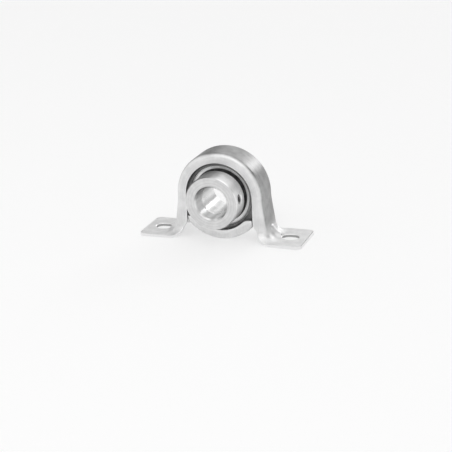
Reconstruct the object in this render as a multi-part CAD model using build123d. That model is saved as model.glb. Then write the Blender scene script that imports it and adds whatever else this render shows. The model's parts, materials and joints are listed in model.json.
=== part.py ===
from build123d import *
from math import acos, cos, degrees, hypot, pi, radians, sin, sqrt
import os

os.makedirs("parts", exist_ok=True)

# A pressed-steel pillow block with a rubber-cushioned ball bearing insert and an eccentric locking
# collar.  Millimetres.  The origin is on the base plane under the bearing, X runs along the feet,
# Y along the shaft with the collar on the -Y side, and Z points up.

# ---------------------------------------------------------------------------- driving dimensions
# Inner ring
shaft_diameter = 20.0
plain_end_length = 7.5           # bearing centre to the plain end of the inner ring
cam_end_length = 13.9            # bearing centre to the cam end of the inner ring
seal_land_wall = 3.4             # bore to the ground land that the seal lips run on
shoulder_step = 1.0              # shoulder beside the raceway, over the seal land
shoulder_half_width = 4.6
inner_race_depth = 1.63
ring_chamfer = 0.6

# Balls and cage
ball_diameter = 7.938
ball_count = 8
ball_clearance = 0.01            # ball to each raceway, along the radius
race_opening = 1.04              # raceway groove radius over ball radius
cage_wall = 2.6                  # along the radius
cage_back_length = 5.1           # bearing centre to the closed back of the cage
cage_web_end = 1.5               # bearing centre to the valley between two pockets
claw_length = 1.9                # bearing centre to the tips of the claws
claw_wall = 1.0
pocket_clearance = 0.12

# Outer ring
outer_race_depth = 1.58
outer_race_wall = 2.772
outer_ring_width = 14.0
outer_ring_chamfer = 0.5

# Seals, one of each in both sides of the outer ring
seal_recess = 0.25               # outer ring face to the outer washer
washer_thickness = 0.4
seal_lip_thickness = 0.45
seal_groove_depth = 0.5          # over the shoulder of the outer ring
seal_fit = 0.02
outer_washer_gap = 0.55          # outer washer to the seal land
inner_washer_gap = 1.8           # inner washer to the seal land
lip_running_clearance = 0.05
lip_flare = 1.1                  # how far the inward lip leans along the shaft
lip_tip_width = 0.22

# Rubber interliner
swivel_limit = 2.5               # degrees, each way
seat_wall = 2.55                 # rubber over the spherical seat, at its middle
ring_seat_clearance = 0.05
side_lip_thickness = 1.3
side_lip_step = 0.15             # side lip over the shoulder of the outer ring
bead_width = 2.0
bead_height = 0.95
rubber_edge_round = 1.2

# Pressed housing
sheet_thickness = 2.0
housing_clearance = 0.2          # housing to rubber, along the radius
flange_edge_gap = 0.5            # rubber bead to the rolled-in edge of the housing
press_radius = 1.2               # inside radius of the pressed corners
leg_lean = 8.5                   # degrees from upright
lean_radius = 40.0               # sweep where the arch turns into the leaning leg
foot_bend_radius = 7.0           # on the upper side of the foot
toe_radius = 9.0                 # the flange edge turns outwards above the foot bend
toe_reach = 2.8                  # how far it has turned outwards where the bend begins
foot_lip_length = 4.5            # unfolded flange where the foot begins
overall_length = 108.0
foot_width = 32.0
foot_corner_radius = 3.5
bolt_spacing = 86.0
slot_width = 8.7
slot_length = 11.0
bead_radius = 2.2                # stiffening bead pressed into each foot bend
bead_sink = 1.0                  # bead centre line below the chord of the bend
bead_dent_radius = 1.0

# Lower saddle of the housing
saddle_floor_gap = 0.3           # saddle to the base plane
saddle_nest_gap = 0.45           # saddle end to the inside of the leg
saddle_side_gap = 0.45           # saddle flange to the edge of the leg flange
saddle_shelf_drop = 14.0         # bearing axis to the level ends of the saddle flange
saddle_shelf_round = 6.0

# Eccentric locking collar and its grub screw
collar_wall = 6.9                # bore of the collar to its outside
collar_width = 13.5
collar_engagement = 3.9          # how far the collar reaches over the cam
collar_bore_clearance = 0.2
collar_chamfer = 0.9             # at the mouth of the bore
collar_edge_chamfer = 0.6
eccentricity = 0.8
cam_wall = 2.2                   # bore to cam, before the cam is set off centre
cam_relief = 0.4                 # collar back face to the step of the inner ring
cam_clearance = 0.3
recess_end_gap = 0.15
cam_angle = 60.0                 # degrees from +X towards +Z
screw_diameter = 6.0
screw_length = 5.0
screw_sink = 0.4                 # screw head below the collar surface
screw_end_gap = 0.9              # screw to the cam end of the inner ring, along the shaft
screw_fit = 0.02
screw_point_chamfer = 0.8
screw_head_chamfer = 0.4
screw_hole_chamfer = 0.7
screw_angle = 8.0                # degrees from +X towards +Z
socket_width = 3.0               # across flats
socket_depth = 2.4
drift_hole_diameter = 5.0        # blind hole for the pin that turns the collar
drift_hole_depth = 3.0

# ------------------------------------------------------------------------------ worked-out sizes
bore_radius = shaft_diameter / 2
ball_radius = ball_diameter / 2
land_radius = bore_radius + seal_land_wall
inner_shoulder_radius = land_radius + shoulder_step
inner_race_floor = inner_shoulder_radius - inner_race_depth
pitch_radius = inner_race_floor + ball_clearance + ball_radius
outer_race_floor = pitch_radius + ball_radius + ball_clearance
outer_shoulder_radius = outer_race_floor - outer_race_depth
outer_sphere_radius = outer_race_floor + outer_race_wall
outer_ring_half = outer_ring_width / 2

seat_sphere_radius = outer_sphere_radius + ring_seat_clearance
rubber_radius = seat_sphere_radius + seat_wall
lip_inner_face = outer_ring_half + ring_seat_clearance
lip_outer_face = lip_inner_face + side_lip_thickness
rubber_side_face = lip_outer_face - bead_height
lip_edge_radius = outer_shoulder_radius + side_lip_step
bead_edge_radius = lip_edge_radius + bead_width

housing_seat_radius = rubber_radius + housing_clearance
shell_radius = housing_seat_radius + sheet_thickness
axis_height = shell_radius + saddle_floor_gap
flange_edge_radius = bead_edge_radius + flange_edge_gap
swivel_room = rubber_radius * sin(radians(swivel_limit))
channel_half_width = rubber_side_face + swivel_room + housing_clearance + sheet_thickness
fold_radius = press_radius + sheet_thickness / 2
web_half_width = channel_half_width - press_radius - sheet_thickness
fold_length = fold_radius * pi / 2

seal_stack = 2 * washer_thickness + seal_lip_thickness + 4 * seal_fit

collar_bore_radius = bore_radius + collar_bore_clearance
collar_radius = collar_bore_radius + collar_wall
collar_back = cam_end_length - collar_engagement
collar_front = collar_back + collar_width
screw_radius = screw_diameter / 2
screw_place = cam_end_length + screw_end_gap + screw_radius
cam_shift = (eccentricity * cos(radians(cam_angle)), eccentricity * sin(radians(cam_angle)))

shaft_axis = Axis((0, 0, axis_height), (0, -1, 0))


# -------------------------------------------------------------------------------------- helpers
def ring(points):
    """Revolve a closed outline of (radius, distance along Y) points about the shaft axis."""
    outline = Polyline([(radius, along) for radius, along in points], close=True)
    return spin(make_face(outline))


def spin(face, start=0.0, turn=360.0):
    """Revolve a face drawn as (radius, distance along Y) about the shaft axis."""
    placed = Pos(0, 0, axis_height) * Rot(0, -start, 0) * face
    return revolve(placed, axis=shaft_axis, revolution_arc=turn)


def shaft_cylinder(radius, start, end, shift=(0, 0)):
    """A cylinder along the shaft between two places on Y, set off the axis by shift."""
    middle = Pos(shift[0], (start + end) / 2, axis_height + shift[1])
    return middle * Rot(90, 0, 0) * Cylinder(radius, abs(end - start))


def export(shape, node):
    """Write one named piece."""
    export_step(shape, f"parts/{node}.step")


# ------------------------------------------------------------------------------ pressed channel
def channel_points(fold, lip, side):
    """Corners of the sheet on one side of a section as (depth, width) pairs.

    The depth is measured from the upper skin of the web.  The fold is the angle in radians that
    the flange is turned in by, and the lip is the length of its flat part.
    """
    if fold > 0:
        radius = fold_length / fold
        centre = sheet_thickness / 2 + radius
        skins = (radius + sheet_thickness / 2, radius - sheet_thickness / 2)
    result = []
    for layer in range(2):
        if fold > 0:
            skin = skins[layer]
            bend = [
                (centre - skin * cos(turn), web_half_width + skin * sin(turn))
                for turn in (0, fold / 2, fold)
            ]
        else:
            level = layer * sheet_thickness
            bend = [(level, web_half_width + share * fold_length) for share in (0, 0.5, 1)]
        tip = (bend[2][0] + lip * sin(fold), bend[2][1] + lip * cos(fold))
        result.append([(depth, side * width) for depth, width in bend + [tip]])
    return result


def channel_wire(place, fold, lip):
    """Closed wire of a channel section.  place turns a (depth, width) pair into a point."""
    upper, lower = {}, {}
    for side in (1, -1):
        upper[side], lower[side] = (
            [place(*point) for point in layer] for layer in channel_points(fold, lip, side)
        )

    def bend(points):
        if fold > 0:
            return ThreePointArc(points[0], points[1], points[2])
        return Line(points[0], points[2])

    edges = [Line(upper[-1][0], upper[1][0]), bend(upper[1]), Line(upper[1][2], upper[1][3])]
    edges += [Line(upper[1][3], lower[1][3]), Line(lower[1][3], lower[1][2])]
    edges += [bend(lower[1][2::-1]), Line(lower[1][0], lower[-1][0]), bend(lower[-1])]
    edges += [Line(lower[-1][2], lower[-1][3]), Line(lower[-1][3], upper[-1][3])]
    edges += [Line(upper[-1][3], upper[-1][2]), bend(upper[-1][2::-1])]
    return Wire(edges)


def channel_face(lip):
    """Fully folded channel section as (radius, distance along Y) on the bearing's centre."""
    return make_face(channel_wire(lambda depth, width: (shell_radius - depth, width), pi / 2, lip))


# Leg: it sweeps outwards from the arch, leans, and bends into the foot.
lean = radians(leg_lean)
lean_start_x = shell_radius + lean_radius * (1 - cos(lean))
lean_start_z = axis_height - lean_radius * sin(lean)
bend_centre_z = sheet_thickness + foot_bend_radius
bend_start_z = bend_centre_z - foot_bend_radius * sin(lean)
bend_start_x = lean_start_x + (lean_start_z - bend_start_z) * sin(lean) / cos(lean)
bend_centre_x = bend_start_x + foot_bend_radius * cos(lean)
arch_lip_length = shell_radius - sheet_thickness - press_radius - flange_edge_radius
leg_lip_length = (bend_start_x - flange_edge_radius) / cos(lean) - sheet_thickness - press_radius
toe_x = flange_edge_radius + toe_reach
toe_depth = (bend_start_x - toe_x) / cos(lean)
toe_z = bend_start_z - toe_depth * sin(lean)
toe_centre_z = toe_z + sqrt(toe_radius**2 - (toe_radius - toe_reach) ** 2)
toe_lip_length = toe_depth - sheet_thickness - press_radius
foot_root_half = web_half_width + fold_length + foot_lip_length
bend_sections = 9


def bend_wire(share):
    """Section of the sheet a share of the way round the bend from the leg to the flat foot."""
    turn = lean + share * (pi / 2 - lean)
    fold = (1 - share) ** 2 * pi / 2
    lip = foot_lip_length + (1 - share) ** 3 * (toe_lip_length - foot_lip_length)

    def place(depth, width):
        reach = foot_bend_radius + depth
        return (bend_centre_x - reach * cos(turn), width, bend_centre_z - reach * sin(turn))

    return channel_wire(place, fold, lip)


def leg():
    """Right leg from the arch down to the start of the foot bend, with the flanges trimmed."""
    section = Pos(0, 0, axis_height) * channel_face(leg_lip_length)
    sweep_axis = Axis((shell_radius + lean_radius, 0, axis_height), (0, -1, 0))
    swept = revolve(section, axis=sweep_axis, revolution_arc=leg_lean)
    low_face = swept.faces().sort_by(Axis.Z)[0]
    run = hypot(bend_start_x - lean_start_x, lean_start_z - bend_start_z)
    straight = extrude(low_face, amount=run, dir=(sin(lean), 0, -cos(lean)))
    corner = (Align.MIN, Align.CENTER, Align.MIN)
    trim = Box(flange_edge_radius, 2 * foot_width, axis_height, align=corner)
    below_toe = Box(flange_edge_radius + toe_radius, 2 * foot_width, toe_centre_z, align=corner)
    toe = Pos(flange_edge_radius + toe_radius, 0, toe_centre_z) * Rot(90, 0, 0) * Cylinder(
        toe_radius, 2 * foot_width
    )
    return swept + straight - trim - (below_toe - toe)


def foot_bend():
    """The bend between leg and foot, where the two flanges unfold into the flat foot."""
    wires = [bend_wire(step / (bend_sections - 1)) for step in range(bend_sections)]
    return Solid.make_loft(wires)


def foot():
    """Flat right foot with its rounded corners and its bolt slot."""
    end = overall_length / 2
    outline = Polyline(
        (bend_centre_x, -foot_root_half),
        (end, -foot_width / 2),
        (end, foot_width / 2),
        (bend_centre_x, foot_root_half),
        close=True,
    )
    plate = extrude(make_face(outline), amount=sheet_thickness)
    corners = plate.edges().filter_by(Axis.Z).group_by(Axis.X)[-1]
    return fillet(corners, foot_corner_radius)


def foot_bead(radius, offset):
    """Rounded bead across the foot bend, moved along the bisector of the bend by offset."""
    turn = (lean + pi / 2) / 2
    shift = offset * Vector(-cos(turn), 0, -sin(turn))
    top = Vector(bend_start_x, 0, bend_start_z) + shift
    bottom = Vector(bend_centre_x, 0, sheet_thickness) + shift
    run = bottom - top
    plane = Plane(origin=(top + bottom) / 2, z_dir=run)
    capsule = plane * Cylinder(radius, run.length)
    for end in (top, bottom):
        capsule += Pos(*end) * Sphere(radius)
    return capsule


def make_housing_arch():
    """Upper housing: arch, two legs and two feet pressed from one sheet."""
    half = leg() + foot_bend() + foot()
    half += foot_bead(bead_radius, bead_sink)
    half -= foot_bead(bead_dent_radius, bead_sink + sheet_thickness)
    slot = SlotOverall(slot_length, slot_width)
    half -= Pos(bolt_spacing / 2, 0, 0) * extrude(slot, amount=2 * sheet_thickness, both=True)
    floor = Box(
        2 * overall_length, 2 * foot_width, axis_height, align=(Align.CENTER, Align.CENTER, Align.MAX)
    )
    half -= floor
    arch = spin(channel_face(arch_lip_length), 0, 180)
    return arch + half + mirror(half, about=Plane.YZ)


def make_housing_saddle():
    """Lower housing: a channel-shaped cradle whose ends nest inside the legs."""
    across = lean_start_x * cos(lean) + (lean_start_z - axis_height) * sin(lean)
    nest = across - sheet_thickness - saddle_nest_gap
    end_angle = degrees(acos(nest / shell_radius) - lean)
    cradle = spin(channel_face(arch_lip_length), end_angle - 180, 180 - 2 * end_angle)
    # Above its level shelf, and outside the leg flanges, only the web of the channel is left.
    shelf_half = sqrt(flange_edge_radius**2 - saddle_shelf_drop**2)
    above = Pos(0, -saddle_shelf_drop) * Rectangle(
        2 * shell_radius, shell_radius, align=(Align.CENTER, Align.MIN)
    )
    opening = above + Circle(flange_edge_radius)
    corners = [
        corner
        for corner in opening.vertices()
        if abs(abs(corner.X) - shelf_half) < 0.01 and corner.Y < 0
    ]
    opening = fillet(corners, saddle_shelf_round)
    side = flange_edge_radius - saddle_side_gap
    for end in (1, -1):
        opening += Pos(end * (side + shell_radius), -shell_radius) * Rectangle(
            2 * shell_radius, 3 * shell_radius
        )
    flange_depth = channel_half_width - web_half_width
    for face in (1, -1):
        middle = face * (web_half_width + flange_depth)
        plane = Plane((0, middle, axis_height), x_dir=(1, 0, 0), z_dir=(0, -1, 0))
        cradle -= extrude(plane * opening, amount=flange_depth, both=True)
    return cradle


# ----------------------------------------------------------------------------- bearing insert
def make_rubber_interliner():
    """Rubber ring with a spherical seat, a crowned outside and a lip over each ring face."""
    seat_edge = sqrt(seat_sphere_radius**2 - lip_inner_face**2)
    crown_edge = sqrt(rubber_radius**2 - rubber_side_face**2)

    def half(side):
        return [
            (seat_edge, side * lip_inner_face),
            (lip_edge_radius, side * lip_inner_face),
            (lip_edge_radius, side * lip_outer_face),
            (bead_edge_radius, side * lip_outer_face),
            (bead_edge_radius, side * rubber_side_face),
            (crown_edge, side * rubber_side_face),
        ]

    rear, front = half(1), half(-1)
    edges = Polyline(rear) + Polyline(front)
    edges += ThreePointArc(rear[-1], (rubber_radius, 0), front[-1])
    edges += ThreePointArc(front[0], (seat_sphere_radius, 0), rear[0])
    outline = make_face(edges)
    corners = [corner for corner in outline.vertices() if abs(corner.X - crown_edge) < 0.01]
    return spin(fillet(corners, rubber_edge_round))


def race_groove(centre_radius):
    """Ring-shaped groove that the balls run in."""
    return spin(Pos(centre_radius, 0) * Circle(ball_radius * race_opening))


def make_outer_ring():
    """Outer ring with a spherical outside, a deep groove and a seal groove in each side."""
    face_edge = sqrt(outer_sphere_radius**2 - outer_ring_half**2) - outer_ring_chamfer
    chamfer_end = outer_ring_half - outer_ring_chamfer
    chamfer_radius = sqrt(outer_sphere_radius**2 - chamfer_end**2)
    rear = [(outer_shoulder_radius, outer_ring_half), (face_edge, outer_ring_half)]
    rear.append((chamfer_radius, chamfer_end))
    front = [(radius, -along) for radius, along in rear]
    edges = Polyline(rear) + Polyline(front) + Line(front[0], rear[0])
    edges += ThreePointArc(rear[-1], (outer_sphere_radius, 0), front[-1])
    body = spin(make_face(edges)) - race_groove(outer_race_floor - ball_radius * race_opening)
    groove_outer = outer_ring_half - seal_recess
    groove_inner = groove_outer - seal_stack
    groove_floor = outer_shoulder_radius + seal_groove_depth
    for side in (1, -1):
        body -= ring(
            [
                (outer_shoulder_radius - seal_groove_depth, side * groove_inner),
                (groove_floor, side * groove_inner),
                (groove_floor, side * groove_outer),
                (outer_shoulder_radius - seal_groove_depth, side * groove_outer),
            ]
        )
    return body


def make_inner_ring():
    """Inner ring with its raceway, two seal lands and an eccentric cam at the collar end."""
    cam_start = collar_back - cam_relief
    body = ring(
        [
            (bore_radius, plain_end_length - ring_chamfer),
            (bore_radius + ring_chamfer, plain_end_length),
            (land_radius - ring_chamfer, plain_end_length),
            (land_radius, plain_end_length - ring_chamfer),
            (land_radius, shoulder_half_width),
            (inner_shoulder_radius, shoulder_half_width),
            (inner_shoulder_radius, -shoulder_half_width),
            (land_radius, -shoulder_half_width),
            (land_radius, ring_chamfer - cam_start),
            (land_radius - ring_chamfer, -cam_start),
            (bore_radius, -cam_start),
        ]
    )
    body -= race_groove(inner_race_floor + ball_radius * race_opening)
    cam = shaft_cylinder(bore_radius + cam_wall, -cam_start, -cam_end_length, cam_shift)
    body += cam - shaft_cylinder(bore_radius, -cam_start, -cam_end_length)
    return chamfer(end_edges(body, -cam_end_length), ring_chamfer)


def end_edges(body, place):
    """Edges that lie in the plane across the shaft at place."""
    return [
        edge
        for edge in body.edges()
        if all(abs(corner.Y - place) < 0.001 for corner in (edge @ 0, edge @ 0.5))
    ]


def ball_angle(number):
    """Angle of a ball's centre, in degrees from +X towards +Z, with the first ball on top."""
    return 90 + 360 * number / ball_count


def ball_centre(number):
    """Centre of one ball."""
    turn = radians(ball_angle(number))
    return Pos(pitch_radius * cos(turn), 0, axis_height + pitch_radius * sin(turn))


def make_ball_cage():
    """One-piece snap cage: a closed back on the collar side and a pair of claws at each ball."""
    inside = pitch_radius - cage_wall / 2
    outside = pitch_radius + cage_wall / 2
    back = shaft_cylinder(outside, -cage_back_length, -cage_web_end)
    claws = shaft_cylinder(outside, -cage_back_length, claw_length)
    collars = [
        ball_centre(number) * Rot(0, 90 - ball_angle(number), 0)
        * Cylinder(ball_radius + claw_wall, 2 * ball_diameter)
        for number in range(ball_count)
    ]
    body = back + (claws & (Part() + collars))
    body -= shaft_cylinder(inside, -2 * cage_back_length, 2 * cage_back_length)
    for number in range(ball_count):
        body -= ball_centre(number) * Sphere(ball_radius + pocket_clearance)
    return body


def seal_places():
    """Distances from the bearing's centre of the three seal pieces, as inner and outer faces."""
    outer = outer_ring_half - seal_recess - seal_fit
    lip = outer - washer_thickness - seal_fit
    inner = lip - seal_lip_thickness - seal_fit
    return {
        "outer_washer": (outer - washer_thickness, outer),
        "lip": (lip - seal_lip_thickness, lip),
        "inner_washer": (inner - washer_thickness, inner),
    }


def make_washer(side, faces, gap):
    """Flat steel seal washer that is held in the outer ring and clears the inner ring by gap."""
    outside = outer_shoulder_radius + seal_groove_depth - seal_fit
    washer = shaft_cylinder(outside, side * faces[0], side * faces[1])
    return washer - shaft_cylinder(land_radius + gap, side * faces[0], side * faces[1])


def make_seal_lip(side, faces):
    """Rubber disc between the washers, split into a V of two lips over the seal land."""
    outside = outer_shoulder_radius + seal_groove_depth - seal_fit
    tip = land_radius + lip_running_clearance
    split = land_radius + inner_washer_gap - seal_fit
    notch = (tip + split) / 2
    outline = [
        (outside, faces[0]),
        (outside, faces[1]),
        (tip, faces[1]),
        (tip, faces[1] - lip_tip_width),
        (notch, faces[0] + lip_tip_width / 2),
        (tip, faces[1] - lip_flare + lip_tip_width),
        (tip, faces[1] - lip_flare),
        (split, faces[0]),
    ]
    return ring([(radius, side * along) for radius, along in outline])


# -------------------------------------------------------------------------------- locking collar
def screw_plane(angle):
    """Plane on the shaft axis at the screw's place, looking outwards at an angle from +X."""
    turn = radians(angle)
    return Plane(
        (0, -screw_place, axis_height), x_dir=(0, 1, 0), z_dir=(cos(turn), 0, sin(turn))
    )


def make_locking_collar():
    """Collar with an eccentric recess for the cam, a tapped hole and a blind drift hole."""
    body = ring(
        [
            (collar_bore_radius, -collar_back),
            (collar_radius - collar_edge_chamfer, -collar_back),
            (collar_radius, -collar_back - collar_edge_chamfer),
            (collar_radius, collar_edge_chamfer - collar_front),
            (collar_radius - collar_edge_chamfer, -collar_front),
            (collar_bore_radius + collar_chamfer, -collar_front),
            (collar_bore_radius, collar_chamfer - collar_front),
        ]
    )
    recess_radius = bore_radius + cam_wall + cam_clearance
    recess_end = cam_end_length + recess_end_gap
    body -= shaft_cylinder(recess_radius, -collar_back, -recess_end, cam_shift)
    hole_radius = screw_radius + screw_fit
    body -= screw_plane(screw_angle) * Pos(0, 0, collar_radius / 2 + bore_radius / 2) * Cylinder(
        hole_radius, collar_radius
    )
    countersink = Cone(
        screw_radius, screw_radius + 2 * screw_hole_chamfer, 2 * screw_hole_chamfer
    )
    body -= screw_plane(screw_angle) * Pos(0, 0, collar_radius) * countersink
    drift = Cylinder(
        drift_hole_diameter / 2, collar_radius, align=(Align.CENTER, Align.CENTER, Align.MIN)
    )
    body -= screw_plane(screw_angle + 180) * Pos(0, 0, collar_radius - drift_hole_depth) * drift
    return body


def make_set_screw():
    """Grub screw with a hexagon socket, a little below the collar's surface."""
    head = collar_radius - screw_sink
    shank = Cylinder(screw_radius, screw_length, align=(Align.CENTER, Align.CENTER, Align.MAX))
    shank = chamfer(shank.edges().group_by(Axis.Z)[-1], screw_head_chamfer)
    shank = chamfer(shank.edges().group_by(Axis.Z)[0], screw_point_chamfer)
    socket = RegularPolygon(socket_width / 2, 6, major_radius=False)
    shank -= extrude(socket, amount=-socket_depth)
    return screw_plane(screw_angle) * Pos(0, 0, head) * shank


export(make_housing_arch(), "housing_arch")
export(make_housing_saddle(), "housing_saddle")
export(make_rubber_interliner(), "rubber_interliner")
export(make_outer_ring(), "outer_ring")
export(make_inner_ring(), "inner_ring")
export(make_ball_cage(), "ball_cage")
for number in range(ball_count):
    export(ball_centre(number) * Sphere(ball_radius), f"ball_{number + 1}")
for side, name in ((-1, "front"), (1, "rear")):
    places = seal_places()
    outer_washer = make_washer(side, places["outer_washer"], outer_washer_gap)
    inner_washer = make_washer(side, places["inner_washer"], inner_washer_gap)
    export(outer_washer, f"seal_{name}_outer_washer")
    export(make_seal_lip(side, places["lip"]), f"seal_{name}_lip")
    export(inner_washer, f"seal_{name}_inner_washer")
export(make_locking_collar(), "locking_collar")
export(make_set_screw(), "set_screw")
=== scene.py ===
"""Looks of a pressed-steel pillow block bearing, dressed around its packed construction.

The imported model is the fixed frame: +X along the feet, Y along the shaft with the locking collar
towards -Y, +Z up from the base plane.  Sizes are millimetres.  Pieces are modelled in millimetres
in the frame's own place and are brought to metres when they are finished.
"""

import json
import logging
import math
from collections.abc import Callable
from dataclasses import dataclass
from enum import Enum

import bmesh
import bpy
from mathutils import Matrix, Vector

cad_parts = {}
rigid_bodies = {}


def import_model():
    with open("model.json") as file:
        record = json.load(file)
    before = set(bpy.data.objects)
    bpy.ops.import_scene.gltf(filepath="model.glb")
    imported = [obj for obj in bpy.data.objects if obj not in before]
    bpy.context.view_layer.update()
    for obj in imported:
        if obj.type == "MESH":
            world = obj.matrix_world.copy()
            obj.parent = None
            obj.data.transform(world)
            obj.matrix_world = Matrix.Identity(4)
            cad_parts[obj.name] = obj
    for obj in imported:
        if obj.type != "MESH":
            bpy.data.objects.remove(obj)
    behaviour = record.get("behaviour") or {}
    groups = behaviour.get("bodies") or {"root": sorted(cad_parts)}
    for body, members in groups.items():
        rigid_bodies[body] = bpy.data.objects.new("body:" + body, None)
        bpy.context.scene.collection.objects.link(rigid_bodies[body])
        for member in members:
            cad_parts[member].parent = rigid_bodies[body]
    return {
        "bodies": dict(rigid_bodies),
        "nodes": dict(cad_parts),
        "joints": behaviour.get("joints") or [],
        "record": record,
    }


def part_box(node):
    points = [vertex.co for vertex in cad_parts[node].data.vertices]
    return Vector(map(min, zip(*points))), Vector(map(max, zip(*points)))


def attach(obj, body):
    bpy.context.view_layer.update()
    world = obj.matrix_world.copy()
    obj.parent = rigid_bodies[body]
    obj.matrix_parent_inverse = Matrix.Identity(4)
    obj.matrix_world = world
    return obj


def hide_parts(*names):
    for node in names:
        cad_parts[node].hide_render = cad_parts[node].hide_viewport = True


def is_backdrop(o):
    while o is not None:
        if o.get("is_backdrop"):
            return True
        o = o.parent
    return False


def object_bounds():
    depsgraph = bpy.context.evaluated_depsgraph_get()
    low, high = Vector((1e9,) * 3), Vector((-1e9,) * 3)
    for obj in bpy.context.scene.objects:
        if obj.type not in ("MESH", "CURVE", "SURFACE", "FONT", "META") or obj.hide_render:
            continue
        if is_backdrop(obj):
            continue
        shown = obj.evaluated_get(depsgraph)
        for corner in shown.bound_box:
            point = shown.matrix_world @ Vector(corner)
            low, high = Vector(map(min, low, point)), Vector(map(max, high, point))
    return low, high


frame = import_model()

MM = 0.001
CAM_SHIFT = Vector((0.4, 0.0, 0.6928))  # from the shaft's axis to the cam's
log = logging.getLogger("pillow_block")

Place = tuple[float, float, float]
Profile = list[tuple[float, float]]
Stops = tuple[tuple[float, float], ...]
Piece = bpy.types.Object
Face = bpy.types.MeshPolygon
Node = bpy.types.Node
Socket = bpy.types.NodeSocket
Tree = bpy.types.NodeTree


# --------------------------------------------------------------------------------- frame datums
@dataclass(frozen=True)
class Datum:
    """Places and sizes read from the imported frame, in millimetres."""

    axis_height: float
    bore_radius: float
    shell_radius: float
    half_length: float
    channel_half_width: float
    outer_ring_half: float
    outer_sphere: float
    plain_end: float
    cam_end: float
    collar_radius: float
    collar_back: float
    collar_front: float
    bolt_spacing: float
    slot_width: float
    slot_length: float
    screw_axis: Vector

    @staticmethod
    def read(packed: dict) -> "Datum":
        """Reads the datums.


        Returns:
            The datums of this frame.
        """
        mounts = {mount["name"]: mount for mount in packed["record"]["mounts"]}
        joints = {joint["name"]: joint for joint in packed["joints"]}
        bore, bolts = mounts["shaft_bore"], mounts["foot_bolts"]
        boxes = {
            node: tuple(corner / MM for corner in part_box(node))
            for node in (
                "housing_arch", "housing_saddle", "outer_ring", "inner_ring", "locking_collar",
            )
        }
        axis_height = bore["pos_m"][2] / MM
        arch, collar, inner = boxes["housing_arch"], boxes["locking_collar"], boxes["inner_ring"]
        return Datum(
            axis_height=axis_height,
            bore_radius=bore["dims"]["r_mm"],
            shell_radius=arch[1].z - axis_height,
            half_length=arch[1].x,
            channel_half_width=boxes["housing_saddle"][1].y,
            outer_ring_half=boxes["outer_ring"][1].y,
            outer_sphere=boxes["outer_ring"][1].x,
            plain_end=inner[1].y,
            cam_end=-inner[0].y,
            collar_radius=collar[1].x,
            collar_back=-collar[1].y,
            collar_front=-collar[0].y,
            bolt_spacing=bolts["dims"]["spacing_x_mm"],
            slot_width=2 * bolts["dims"]["hole_r_mm"],
            slot_length=bolts["dims"]["slot_length_mm"],
            screw_axis=Vector(joints["set_screw_travel"]["axis"]).normalized(),
        )

    @property
    def centre(self) -> Vector:
        """Centre of the bearing."""
        return Vector((0.0, 0.0, self.axis_height))


# ------------------------------------------------------------------------------ modelling bench
class Shading(Enum):
    """How a finished piece is shaded: the angle in degrees past which an edge stays sharp."""

    TURNED = 32.0
    PRESSED = 38.0
    MOULDED = 50.0


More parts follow.
